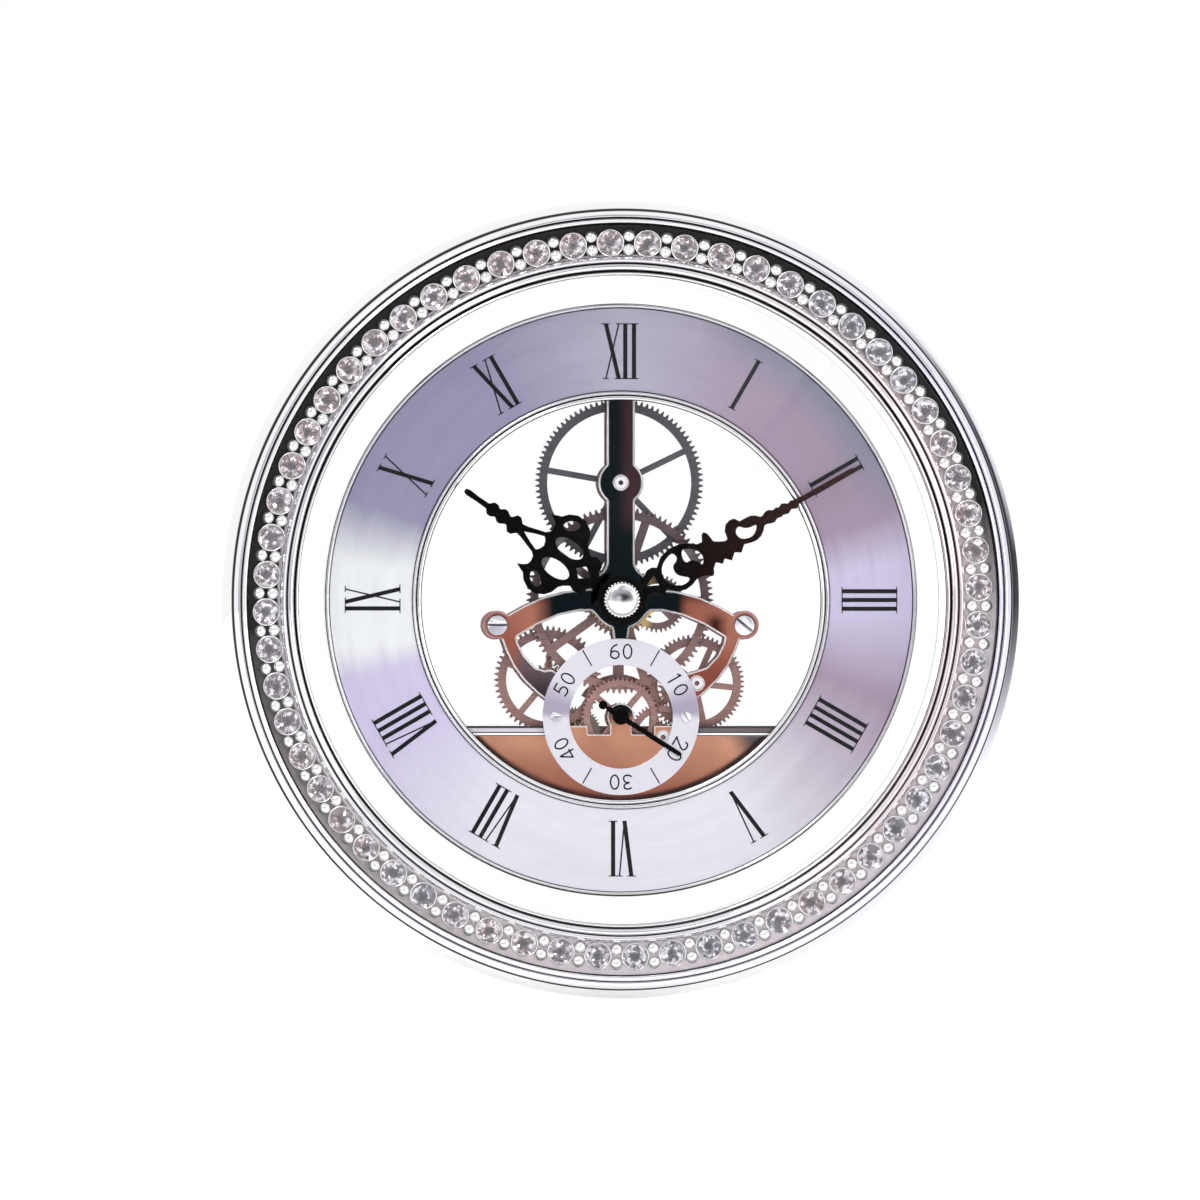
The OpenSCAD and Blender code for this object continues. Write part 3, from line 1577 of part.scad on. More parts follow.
minute_unit = minute_reach / 51;
minute_edge_shares = [
    [-1.3, 3.6], [-1.8, 5.8], [-2.5, 6.9], [-2.5, 7.9], [-2, 8.7], [-3.4, 10.3], [-4, 12.4], [-3.8, 14.5],
    [-3, 16.3], [-2.1, 17.5], [-2, 18.5], [-3.2, 19.1], [-3.5, 19.6], [-3, 20.1], [-2.1, 20.3],
    [-1.1, 20.4], [-0.5, 21.3], [0, 22.4], [-0.1, 22.9], [-0.7, 23.1], [-1.6, 23.2], [-2.6, 23.9],
    [-3, 24.9], [-2.9, 25.9], [-1.9, 26.6], [-1.9, 27.8], [-1.8, 28.9], [-1.4, 29.7], [-0.7, 30.4],
    [-0.7, 30.9], [-1.1, 31.7], [-1.1, 32.3], [-0.6, 33.1], [-0.8, 33.8], [-0.5, 34.3], [-0.9, 35],
    [-0.7, 35.6], [-0.3, 36.1], [-0.6, 36.9], [-0.2, 37.7], [-0.25, 42], [-0.2, 50], [0.3, 51], [0.75, 50],
    [0.8, 42], [0.8, 37.8], [1.35, 37.2], [0.9, 36.2], [1.4, 35.4], [1.1, 34.3], [1.3, 33.9],
    [1.1, 33.1], [1.5, 32.3], [1.4, 31.6], [1.1, 30.9], [1.1, 30.3], [1.9, 29.6], [2.5, 28.8],
    [2.8, 27.7], [2.7, 26.6], [2.3, 25.2], [3.4, 24], [2.7, 22.9], [3.8, 21.7], [2.8, 20.7],
    [3.5, 19.9], [2.6, 18.9], [3.4, 18], [4.3, 17.6], [4.6, 17], [4.1, 16.5], [3.6, 15.5], [3.6, 14.2],
    [4.1, 13], [4.3, 11.4], [3.7, 9.8], [2.4, 8.5], [3, 7.6], [3, 6.9], [1.9, 6.1], [1.3, 3.6]
];
minute_low_crescent_shares = [
    [-2.9, 12.5], [-2.6, 11.1], [-1.8, 9.8], [-0.6, 9.05], [0.8, 9], [2.2, 9.7], [3.2, 11.2], [3.2, 12.6],
    [2.7, 13.1], [2.1, 12.5], [1.5, 11.8], [0.8, 11.35], [0, 11.3], [-0.8, 11.6], [-1.2, 12.4], [-1.9, 12.95]
];
minute_high_crescent_shares = [
    [-2.5, 14.9], [-2, 15.9], [-1.2, 16.8], [-0.2, 17.25], [0.8, 17.2], [1.75, 16.5], [1, 16.1],
    [0.3, 15.6], [-0.05, 14.9], [-0.1, 14.1], [-0.8, 13.8], [-1.8, 14], [-2.4, 14.4]
];
minute_eye_shares = [
    [0.3, 29], [1.2, 28.3], [1.7, 27.3], [1.6, 26.3], [1.2, 25.4], [0.5, 24.95], [-0.3, 24.9],
    [-0.9, 25.3], [-1.1, 26], [-0.4, 26.7], [0, 27.5], [0.1, 28.3]
];
minute_window_shares = [[-1, 7.5], [1.1, 7.5], [0.6, 6.5], [0.1, 5.3], [-0.5, 6.3]];

module minute_plan() {
    difference() {
        polygon(minute_unit * minute_edge_shares);
        polygon(smooth(minute_unit * minute_low_crescent_shares, 2));
        polygon(smooth(minute_unit * minute_high_crescent_shares, 2));
        polygon(smooth(minute_unit * minute_eye_shares, 2));
        polygon(minute_unit * minute_window_shares);
    }
}

module minute_hand() {
    color("black")
        difference() {
            union() {
                rotate([0, minute_angle, 0])
                    slab(minute_hand_y, hand_t)
                        minute_plan();
                rod(hub_r, minute_hand_y, hand_t, round_fn);
            }
            rod(cannon_r, minute_hand_y - over, hand_t + 2 * over);
        }
}

// The seconds hand's points are shares of its length
seconds_blade_shares = [
    [-0.035, 0], [-0.031, 0.95], [-0.015, 0.99], [0.015, 0.99], [0.031, 0.95], [0.035, 0],
    [0.035, -0.2], [0, -0.3], [-0.035, -0.2]
];
seconds_hub_share = 0.11;
tail_disc_share = 0.06;
tail_share = 0.3;
module seconds_hand() {
    color("black")
        at(seconds_axis)
            rotate([0, seconds_angle, 0])
                difference() {
                    union() {
                        slab(seconds_hand_y, seconds_hand_t)
                            polygon(seconds_reach * seconds_blade_shares);
                        rod(seconds_reach * seconds_hub_share, seconds_hand_y, seconds_hand_t);
                        translate([0, 0, -seconds_reach * tail_share])
                            rod(seconds_reach * tail_disc_share, seconds_hand_y, seconds_hand_t);
                    }
                    rod(arbor_r, hand_seat_y, seconds_hand_t);
                }
}

module hand_washer() {
    color("black")
        difference() {
            slab(washer_y, washer_t)
                polygon(fluted(washer_r, 36, washer_t / 2));
            rod(hand_arbor_r, washer_y - over, washer_t + 2 * over);
        }
}

nut_flutes = 30;
module hand_nut() {
    dome_r = 0.5 * nut_r;
    ball_r = (dome_r * dome_r + nut_dome * nut_dome) / (2 * nut_dome);
    color("silver")
        difference() {
            union() {
                slab(nut_y, nut_t)
                    polygon(fluted(nut_r, nut_flutes, nut_r * flute_share));
                intersection() {
                    translate([0, nut_y - nut_dome + ball_r, 0])
                        sphere(r = ball_r, $fn = round_fn);
                    rod(dome_r, nut_y - nut_dome - over, nut_dome + over, round_fn);
                }
            }
            rod(hand_arbor_r, washer_y - 0.6 * nut_t, nut_t);
        }
}

case_ring();
front_bezel();
stone_backing_strip();
stone_setting();
crystal_stones();
front_glass();
glass_seal();
rear_window();
rear_ring();
rear_ring_screws();
dial_ring();
hour_numerals();
dial_outer_rim();
dial_inner_rim();
dial_housing();
housing_posts();
housing_post_screws();
front_bridge();
bridge_screws();
pillars();
bottom_plate();
back_plate();
back_plate_screws();
pivot_jewels();
seconds_dial();
seconds_numerals();
seconds_dial_screws();
top_wheel();
centre_wheel();
centre_arbor();
hour_wheel();
motion_wheel();
motion_stud();
left_wheel();
right_wheel();
idler_wheel();
idler_stud();
transfer_wheel();
seconds_wheel();
intermediate_wheel();
rotor_pinion();
rotor_magnet();
stator();
coil();
coil_core();
motor_housing();
circuit_board();
chip();
quartz_crystal();
movement_cover();
battery();
battery_contacts();
battery_cover();
setting_knob();
hour_hand();
minute_hand();
seconds_hand();
hand_washer();
hand_nut();
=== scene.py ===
# %% [markdown]
# # A round skeleton clock
# The clock is a flat, round assembly: a bezel set with glass stones, a brushed dial ring that floats in a clear
# ring, and an open wheel train between a mirror-polished bridge and two plates. The machined frame comes ready
# made and stands still. This lesson dresses it. Turned work is remade as finer surfaces of revolution, plates
# and wheels get the small bevels that catch the light, and each finish gets its own grain.

# %% The fixed frame
import json
import math
import bmesh
import bpy
import numpy as np
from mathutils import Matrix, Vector


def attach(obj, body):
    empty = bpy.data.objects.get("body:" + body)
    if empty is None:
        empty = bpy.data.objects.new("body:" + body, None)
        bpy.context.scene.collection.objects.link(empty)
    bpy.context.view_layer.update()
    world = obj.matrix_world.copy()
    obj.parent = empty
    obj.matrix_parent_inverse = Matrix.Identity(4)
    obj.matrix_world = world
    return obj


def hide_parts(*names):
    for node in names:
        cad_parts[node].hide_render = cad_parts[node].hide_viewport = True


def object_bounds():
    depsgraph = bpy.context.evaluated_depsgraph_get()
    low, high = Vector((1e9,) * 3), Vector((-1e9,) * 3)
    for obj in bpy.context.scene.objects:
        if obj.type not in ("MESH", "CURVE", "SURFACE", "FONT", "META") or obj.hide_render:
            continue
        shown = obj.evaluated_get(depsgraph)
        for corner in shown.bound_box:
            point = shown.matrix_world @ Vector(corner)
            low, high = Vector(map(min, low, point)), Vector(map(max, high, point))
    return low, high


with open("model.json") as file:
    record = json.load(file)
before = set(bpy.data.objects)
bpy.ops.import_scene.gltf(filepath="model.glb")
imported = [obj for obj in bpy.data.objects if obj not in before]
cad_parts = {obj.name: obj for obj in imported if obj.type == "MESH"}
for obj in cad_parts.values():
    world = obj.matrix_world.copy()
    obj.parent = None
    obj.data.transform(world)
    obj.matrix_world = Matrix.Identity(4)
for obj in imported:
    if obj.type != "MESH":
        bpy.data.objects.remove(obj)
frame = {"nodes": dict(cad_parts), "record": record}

MM = 0.001
cad_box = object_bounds()

# %% [markdown]
# ## Writing shader maths as sums
# A finish is a recipe of numbers that change over the surface. Node trees are hard to read when each sum takes
# several lines, so one small class wraps a socket: adding or multiplying two wires adds the Math node, and one
# method adds any other node.

# %% Wire: a socket that can be added and multiplied
def rgba(value):
    """A colour of three numbers gets a fourth, which is 1; any other value stays as it is."""
    return (*value, 1) if isinstance(value, tuple) else value


class Wire:
    """An output socket of a material's tree. Operators on it add Math nodes to the same tree."""

    def __init__(self, tree, socket=None):
        self.tree, self.socket = tree, socket

    def node(self, kind, settings=None, inputs=None, out=0):
        """Add a node, set its settings, then fill its sockets with values or wires."""
        made = self.tree.nodes.new(kind)
        for name, value in (settings or {}).items():
            if name == "stops":
                while len(made.color_ramp.elements) < len(value):
                    made.color_ramp.elements.new(0.5)
                for element, (place, colour) in zip(made.color_ramp.elements, value):
                    element.position, element.color = place, rgba(colour)
            else:
                setattr(made, name, value)
        for name, value in (inputs or {}).items():
            if isinstance(value, Wire):
                self.tree.links.new(value.socket, made.inputs[name])
            else:
                made.inputs[name].default_value = value
        return Wire(self.tree, made.outputs[out])

    def math(self, operation, *values):
        return self.node("ShaderNodeMath", {"operation": operation}, dict(enumerate((self, *values))))

    def flipped(self, operation, value):
        return self.node("ShaderNodeMath", {"operation": operation}, {0: value, 1: self})

    def __add__(self, other): return self.math("ADD", other)
    def __radd__(self, other): return self.math("ADD", other)
    def __sub__(self, other): return self.math("SUBTRACT", other)
    def __rsub__(self, other): return self.flipped("SUBTRACT", other)
    def __mul__(self, other): return self.math("MULTIPLY", other)
    def __rmul__(self, other): return self.math("MULTIPLY", other)
    def __truediv__(self, other): return self.math("DIVIDE", other)
    def __pow__(self, other): return self.math("POWER", other)
    def __neg__(self): return self.math("MULTIPLY", -1.0)
    def __abs__(self): return self.math("ABSOLUTE")

    def part(self, axis):
        """One coordinate of a vector."""
        return self.node("ShaderNodeSeparateXYZ", None, {0: self}, out=axis)

    def between(self, low, high):
        """This value, stretched so that low gives 0 and high gives 1, and held there."""
        limits = {"Value": self, "From Min": low, "From Max": high}
        return self.node("ShaderNodeMapRange", {"clamp": True}, limits)

    def fade(self, low, high):
        """The same for a length in metres, with both limits in millimetres."""
        return self.between(low * MM, high * MM)


# %% sums that many finishes share
MIX_COLOUR = 2  # the Mix node's third result is its colour


def mixed(mask, first, second):
    """Colour that goes from first to second as the mask goes from 0 to 1."""
    ends = {0: mask, 6: rgba(first), 7: rgba(second)}
    return mask.node("ShaderNodeMix", {"data_type": "RGBA"}, ends, out=MIX_COLOUR)


def multiplied(first, second):
    """Product of two colour wires."""
    settings = {"data_type": "RGBA", "blend_type": "MULTIPLY"}
    return first.node("ShaderNodeMix", settings, {0: 1.0, 6: first, 7: second}, out=MIX_COLOUR)


def most(first, *others):
    """The largest of several masks at each point."""
    for mask in others:
        first = first.math("MAXIMUM", mask)
    return first


def radius(x, z):
    """Distance from an axis along Y: sqrt(x*x + z*z)."""
    return (x * x + z * z) ** 0.5


def on_face(at):
    """Place on the clock's face: x, z and the distance r from the hand axis."""
    x, z = at.part("X"), at.part("Z")
    return x, z, radius(x, z)


# %% [markdown]
# ## A finish
# Every material here is one Principled shader. What is the same all over stays a plain number on its socket.
# What varies, such as colour, roughness or a bump, reads Object coordinates. They are metres on this model, so a
# noise of scale 1000 has one wave per millimetre.

finishes = {}


def finish(name, recipe, **sockets):
    """Make the material called name. recipe(at) gets the Object coordinate wire and returns what varies."""
    material = bpy.data.materials.new(name)
    material.use_nodes = True
    tree = material.node_tree
    shader = tree.nodes["Principled BSDF"]
    for socket, value in sockets.items():
        shader.inputs[socket.replace("_", " ")].default_value = rgba(value)
    at = Wire(tree).node("ShaderNodeTexCoord", out="Object")
    for socket, wire in recipe(at).items():
        if isinstance(wire, Wire):
            tree.links.new(wire.socket, shader.inputs[socket])
        else:
            shader.inputs[socket].default_value = rgba(wire)
    finishes[name] = material
    return material


def noise(at, scale, stretch=(1, 1, 1), detail=2.0, rough=0.5):
    """Noise from 0 to 1 with scale waves per metre, times the number in stretch along each axis."""
    placed = at.node("ShaderNodeMapping", None, {0: at, "Scale": stretch})
    waves = {"Vector": placed, "Scale": scale, "Detail": detail, "Roughness": rough}
    return at.node("ShaderNodeTexNoise", None, waves)


def bump(height, depth, strength=1.0):
    """A Bump node: height from 0 to 1 stands depth metres proud."""
    return height.node("ShaderNodeBump", None, {"Height": height, "Distance": depth, "Strength": strength})


def shaded(colour, share):
    """The colour with each of its numbers times share."""
    return tuple(c * share for c in colour)


# %% [markdown]
# ## Places on the face
# Finishes that change from place to place need a few sizes of the frame, in millimetres. The hand axis is at
# x = 0 and z = 0, and y grows towards the rear.

# %% places that the finishes read
seconds_z = -22.0                # axis of the small dial
eyelet_x, eyelet_z = 23.3, -4.8  # the bridge's two eyelets, at plus and minus x
plate_top_z = -23.95             # top edge of the bottom plate


def from_eyelet(at):
    """Distance from the nearer of the bridge's two eyelets."""
    return radius(abs(at.part("X")) - eyelet_x * MM, at.part("Z") - eyelet_z * MM)


# %% [markdown]
# ## Metals
# Polished chrome is not perfectly even: it has a slight haze where it was wiped, and hairlines. Satin wheels were
# drawn across an abrasive belt, so their grain is a noise drawn out many times in one direction.

# %% recipes for metals and plastics
def polished(colour, haze=0.05, low=0.03):
    """Mirror metal: roughness goes from low to low + haze in soft patches, crossed by faint hairlines."""
    def recipe(at):
        patches = noise(at, 90, detail=3)
        hairs = noise(at, 400, (1, 1, 14), detail=1)
        rough = low + haze * (patches.between(0.45, 0.75) * 0.7 + hairs.between(0.6, 0.8) * 0.3)
        tint = mixed(patches, colour, shaded(colour, 0.94))
        return {"Base Color": tint, "Roughness": rough}
    return recipe


def satin(colour, dark, grain=(1, 1, 40), rough=0.3, depth=2e-6, scale=260):
    """Drawn metal: long fine scratches in colour, roughness and height, over slow patches of tone."""
    def recipe(at):
        lines = noise(at, scale, grain, detail=4, rough=0.7)
        patches = noise(at, 60, detail=2)
        tone = (lines * 0.6 + patches * 0.4).between(0.3, 0.7)
        return {
            "Base Color": mixed(tone, dark, colour),
            "Roughness": rough + 0.16 * lines,
            "Normal": bump(lines, depth),
        }
    return recipe


def moulded(colour, rough=0.4, depth=8e-6, shade=0.85, scale=2500):
    """Moulded plastic: a fine even grain and hardly any change of tone."""
    def recipe(at):
        grain = noise(at, scale, detail=2)
        patches = noise(at, 50, detail=2)
        return {
            "Base Color": mixed(patches, shaded(colour, shade), colour),
            "Roughness": rough + 0.12 * grain,
            "Normal": bump(grain, depth, 0.5),
        }
    return recipe


def grooved(colour, grooves, kept=0.55):
    """Chrome with painted shade in its grooves: the distance from the hand axis is tested against each groove.

    The painted shade is widest at the upper left and thins to the kept share towards the lower right, in slow
    waves. The right side gets a painted reflection of a rosy and lilac room, and the outer wall there painted
    dark shade.
    """
    shine = polished(colour)
    # rosy and cool are tones of painted reflection; night and the black are painted shade.
    rosy, cool = (0.96, 0.86, 0.87), (0.8, 0.77, 0.88)
    night, shade_black = (0.008, 0.008, 0.02), (0.01, 0.009, 0.01)

    def recipe(at):
        made = shine(at)
        x, z, r = on_face(at)
        # Painted shade in the grooves: its width follows the light, widest at the upper left.
        upper_left = ((z * 0.8 - x * 0.3) / r).between(-0.85, 0.85)
        width = (kept + (1 - kept) * upper_left) * (0.75 + 0.5 * noise(at, 25)) * MM
        groove_shade = most(*[1 - (abs(r - place * MM) / width).between(0.7 * half_w, 1.3 * half_w)
                     for place, half_w in grooves])
        # Painted reflection: rosy and lilac tones on the right side.
        right = ((x * 0.97 + z * 0.1) / r).between(0.3, 0.95) * r.fade(60, 61)
        tone = mixed(right, made["Base Color"], mixed(r.fade(66, 68), rosy, cool))
        # Painted shade on the outer wall at the far right, left out along its lit edge.
        far_right = ((x * 0.98 + z * 0.2) / r).between(0.8, 0.98)
        lit_edge = (z / r).between(0.12, 0.4) * r.fade(74, 74.4)
        wall = far_right * r.fade(73.3, 73.7) * (1 - lit_edge)
        made["Base Color"] = mixed(groove_shade, mixed(wall, tone, night), shade_black)
        made["Roughness"] = made["Roughness"] + most(groove_shade, wall) * 0.6
        return made
    return recipe


def lined_plate(colour, haze, low, line):
    """Mirror plate with broken edges: a painted highlight on the slope of the edge, and painted shade on its
    steep foot.

    The Bevel node rounds the normal within line millimetres of an edge. Its y is 1 on the flat and falls over
    the edge. The painted highlight is rosy round the eyelets. Neither mark is metal, so each shows its painted
    colour.
    """
    shine = polished(colour, haze, low)
    # Colours of the painted edge: rosy and white highlight, dark shade on the foot.
    rosy, white, dark = (0.62, 0.33, 0.33), (1.0, 0.99, 1.0), (0.02, 0.018, 0.02)

    def recipe(at):
        made = shine(at)
        rounded = at.node("ShaderNodeBevel", {"samples": 10}, {"Radius": line * MM})
        facing = abs(rounded.part("Y"))
        foot = 1 - facing.between(0.82, 0.87)
        slope = (1 - facing.between(0.975, 0.99)) * (1 - foot)
        edge = mixed(from_eyelet(at).fade(2.6, 2.9), rosy, white)
        # Painted highlight on the slope and painted shade on the foot, both in place of metal.
        made["Base Color"] = mixed(foot, mixed(slope, made["Base Color"], edge), dark)
        made["Roughness"] = made["Roughness"] + slope * 0.3 + foot * 0.3
        made["Metallic"] = 1 - (slope + foot).between(0, 1)
        return made
    return recipe


# %% chrome pieces
chrome = (0.95, 0.94, 0.955)
# Place and half width, in millimetres, of the painted shade in each groove of the bezel and the dial rims.
bezel_grooves = ((61.85, 0.28), (63.25, 0.2), (70.7, 0.24), (71.85, 0.2), (73.35, 0.26))
rim_grooves = ((37.66, 0.1), (38.5, 0.12), (39.36, 0.12), (54.95, 0.12), (55.76, 0.12))
finish("bezel_chrome", grooved(chrome, bezel_grooves), Metallic=1.0)
finish("rim_chrome", grooved(chrome, rim_grooves, kept=0.7), Metallic=1.0)


def nut(at):
    """Polished dome with a painted reflection: a dark oval in its middle for the dark of the camera, with a soft
    end on the left, where the dark gives way to a painted highlight.
    """
    made = polished((0.95, 0.945, 0.94), haze=0.08, low=0.1)(at)
    # Painted reflection: the dark oval. glint marks the painted highlight at its left end.
    x, z = at.part("X") - 0.3 * MM, at.part("Z") - 0.5 * MM
    oval = radius(x / (1.9 * MM), z / (0.95 * MM))
    glint = radius(x / MM + 0.9, z / MM + 0.35)
    dark = (1 - oval.between(0.35, 1.25)) * glint.between(0.3, 0.9)
    made["Base Color"] = mixed(dark, made["Base Color"], (0.09, 0.08, 0.07))
    return made


finish("nut_chrome", nut, Metallic=1.0)
finish("bridge_chrome", lined_plate((0.95, 0.93, 0.94), 0.012, 0.004, 0.75), Metallic=1.0)


def stepped(at):
    """The bottom plate: beside the small dial, a step along its top edge is painted in light and shade: pale on
    the left, brown on the right, with painted dark lines and a painted highlight.
    """
    made = lined_plate((0.95, 0.92, 0.91), 0.016, 0.006, 0.5)(at)
    # Colours of the painted step: its lit and shaded sides, dark lines, and a highlight.
    pale, brown = (0.6, 0.55, 0.6), (0.13, 0.1, 0.11)
    line, glint = (0.03, 0.025, 0.03), (1.0, 0.99, 1.0)
    x, deep = at.part("X"), plate_top_z * MM - at.part("Z")
    step = mixed(deep.fade(0.15, 0.25), line, mixed(x.fade(-1, 1), pale, brown))
    for low, high, tone in ((0.85, 0.95, line), (1.08, 1.16, glint), (1.42, 1.5, line)):
        step = mixed(deep.fade(low, high), step, tone)
    # The painted step replaces the metal in a band along the top edge beside the dial.
    beside_dial = abs(x).fade(13.2, 13.4)
    painted = beside_dial * (1 - deep.fade(1.6, 1.68))
    made["Base Color"] = mixed(painted, made["Base Color"], step)
    made["Metallic"] = made["Metallic"] * (1 - painted)
    made["Roughness"] = made["Roughness"] + painted * 0.4
    return made


finish("plate_chrome", stepped, Metallic=1.0)


def screw(at):
    """Bright steel, with painted shade in the slot, where ambient occlusion finds a hollow, and a dark ring round
    the heads in the eyelets.
    """
    made = satin((0.95, 0.95, 0.97), (0.78, 0.78, 0.82), rough=0.16)(at)
    # Painted shade in the slot from ambient occlusion, and a dark ring round each head.
    open_sky = at.node("ShaderNodeAmbientOcclusion", {"samples": 8}, {"Distance": 0.6 * MM}, out="AO")
    away = from_eyelet(at)
    seam = away.fade(1.8, 1.9) * (1 - away.fade(2.5, 2.7))
    slot_shade_and_ring = most(1 - open_sky.between(0.55, 0.9), seam)
    made["Base Color"] = mixed(slot_shade_and_ring, made["Base Color"], (0.05, 0.045, 0.05))
    return made


finish("screw_steel", screw, Metallic=1.0)
finish("arbor_steel", satin((0.75, 0.75, 0.78), (0.5, 0.5, 0.53), rough=0.2), Metallic=1.0)
finish("setting_silver", polished((0.93, 0.92, 0.93), haze=0.12, low=0.2), Metallic=0.8)
finish("contact_steel", satin((0.8, 0.79, 0.77), (0.6, 0.6, 0.6), rough=0.25), Metallic=1.0)
finish("can_metal", satin((0.8, 0.8, 0.8), (0.62, 0.62, 0.62), rough=0.25), Metallic=1.0)


def case(at):
    """Bright case ring. The lip that carries the rear window is painted white and glows a little, so that the
    clear ring stays unbroken.
    """
    made = polished((0.97, 0.97, 0.98), haze=0.1, low=0.06)(at)
    inside = 1 - radius(at.part("X"), at.part("Z")).fade(62.6, 63.0)
    painted = at.part("Y").fade(13.8, 14.4) * inside
    made["Metallic"] = 1 - painted
    made["Roughness"] = made["Roughness"] + painted * 0.5
    # The painted lip glows, though it is no lamp.
    made["Emission Color"] = mixed(painted, (0, 0, 0), (0.7, 0.7, 0.7))
    return made


# Emission Strength 1 lights only the painted lip.
finish("case_aluminium", case, Emission_Strength=1.0)


def brass(at):
    """Brass near the hand axis, darker brown further out."""
    made = satin((0.8, 0.58, 0.25), (0.5, 0.33, 0.12), rough=0.22)(at)
    outer = radius(at.part("X"), at.part("Z")).fade(6.6, 7.8)
    made["Base Color"] = mixed(outer, made["Base Color"], (0.2, 0.14, 0.13))
    return made


finish("motion_brass", brass, Metallic=1.0)
finish("stator_iron", satin((0.5, 0.5, 0.53), (0.3, 0.3, 0.33), grain=(30, 1, 1), rough=0.35), Metallic=1.0)
finish("magnet", moulded((0.12, 0.12, 0.13), rough=0.35), Metallic=0.7)
finish("dark_wheel", satin((0.17, 0.155, 0.175), (0.07, 0.065, 0.075), grain=(1, 1, 18), rough=0.3), Metallic=1.0)


# Painted light: pale patches on the wheels.
painted_pale_patches = ((-11, 8.5, 5.5), (12, 7.2, 3.6))  # x, z and reach in millimetres, behind the two hands


def rose(at):
    """Plated steel with a painted reflection of the room: copper tone low down, rosy grey near the centre, and
    painted pale patches behind the hands.
    """
    made = satin((1.0, 1.0, 1.0), (0.45, 0.42, 0.42), grain=(1, 1, 18), rough=0.28)(at)
    x, z = at.part("X"), at.part("Z")
    # Painted reflection: copper low down, rosy grey above.
    tone = mixed((-z).fade(0, 16), (0.2, 0.15, 0.155), (0.55, 0.34, 0.3))
    grey = most(*[1 - radius(x - u * MM, z - v * MM).fade(reach - 1.5, reach) for u, v, reach in painted_pale_patches])
    made["Base Color"] = multiplied(mixed(grey, tone, (0.4, 0.38, 0.4)), made["Base Color"])
    return made


copper_steel = satin((0.42, 0.27, 0.25), (0.2, 0.12, 0.12), grain=(20, 1, 1), rough=0.28)
finish("rose_wheel", rose, Metallic=1.0)
finish("back_plate_metal", copper_steel, Metallic=1.0)

# %% [markdown]
# ## The brushed dial
# The dial is aluminium brushed round its centre. Each scratch follows a circle, so its noise is read from a
# place whose radius is stretched many times. The sheen of such a ring comes in wedges; here it is painted into
# the colour, listed hour by hour.

# %% dial recipes
# Tones of the painted sheen, and the hours where they stand.
slate, haze, mauve = (0.29, 0.28, 0.42), (0.44, 0.43, 0.55), (0.37, 0.29, 0.4)
lilac, pale, white = (0.6, 0.55, 0.76), (0.76, 0.75, 0.84), (0.8, 0.82, 1.0)
dial_sheen = [(0, haze), (1.2, mauve), (2.45, mauve), (2.8, lilac), (3.15, lilac), (3.7, mauve), (5, pale),
              (7, pale), (7.9, lilac), (8.45, lilac), (8.65, white), (9.25, white), (9.65, slate), (11, slate)]


def dial_wedges(gain):
    """Ramp stops from dial_sheen: the tones times gain, placed from 6 o'clock round to 6 o'clock again."""
    stops = sorted(((hour / 12 + 0.5) % 1, tuple(min(1, c) for c in shaded(tone, gain)))
                   for hour, tone in dial_sheen)
    return stops + [(1.0, stops[0][1])]


def drawn_dial(gain, rough):
    """Brushed ring: fine circles in tone and bump, over a painted wedge-shaped sheen such as a spun ring has, and
    a painted bluish reflection at the upper right.
    """
    def recipe(at):
        x, z, r = on_face(at)

        def circles(pull, scale, **kind):
            """Noise whose place moves pull times as fast along the radius as round it."""
            return noise(at.node("ShaderNodeCombineXYZ", None, {0: r * pull, 1: x, 2: z}), scale, **kind)

        fine, broad = circles(30.0, 240, detail=5, rough=0.75), circles(9.0, 50, detail=3)
        # Painted sheen: a colour ramp round the dial, its edges broken a little.
        turn = x.math("ARCTAN2", z) / math.tau + 0.5
        wavy = turn + 0.012 * (broad - 0.5) + 0.03 * (noise(at, 28, detail=3) - 0.5)
        sheen = at.node("ShaderNodeValToRGB", {"stops": dial_wedges(gain)}, {0: wavy})
        # Painted reflection: bluish near the rim at the upper right.
        upper_right = ((x * 0.7 + z * 0.7) / r).between(0.86, 0.97) * r.fade(48, 54)
        sheen = mixed(upper_right, sheen, (0.31, 0.31, 0.43))
        streak = (fine * 0.6 + broad * 0.4).between(0.3, 0.7)
        return {
            "Base Color": multiplied(sheen, mixed(streak, (0.81, 0.81, 0.78), (0.96, 0.96, 0.92))),
            "Roughness": rough + 0.14 * fine,
            "Normal": bump(fine, 3e-6),
        }
    return recipe


def spun_dial(at):
    """The small dial is turned, so its fine lines are circles round the seconds axis. Its sides get painted
    shade.
    """
    x, z = at.part("X"), at.part("Z") - seconds_z * MM
    r = radius(x, z)
    along_r = {"W": r * 9000, "Scale": 1.0, "Detail": 4.0}
    lines = at.node("ShaderNodeTexNoise", {"noise_dimensions": "1D"}, along_r)
    tone = mixed(lines.between(0.3, 0.7), (0.66, 0.65, 0.71), (0.82, 0.8, 0.86))
    # Painted shade on the left and right sides, above the axis.
    sides = (abs(x) / r).between(0.86, 0.98) * z.fade(-0.4, 0.8)
    return {
        "Base Color": mixed(sides, tone, (0.42, 0.37, 0.48)),
        "Roughness": 0.34 + 0.12 * lines,
        "Normal": bump(lines, 2e-6),
    }


finish("dial_aluminium", drawn_dial(1.17, 0.34), Metallic=0.6)
finish("seconds_dial_aluminium", spun_dial, Metallic=0.5)

# %% [markdown]
# ## Plastics, print, glass and the small electric parts
# The dial's housing and both windows are thin and colourless. A part of alpha that grows towards grazing
# angles shows their edges and their sheen, and lets the parts behind stay sharp.

# %% plastics and glass
finish("seal_rubber", moulded((0.03, 0.03, 0.03), rough=0.6))
finish("motor_case_plastic", moulded((0.75, 0.75, 0.72), rough=0.4))
finish("motor_plastic", moulded((0.85, 0.8, 0.66), rough=0.38))
finish("black_resin", moulded((0.02, 0.02, 0.022), rough=0.3))


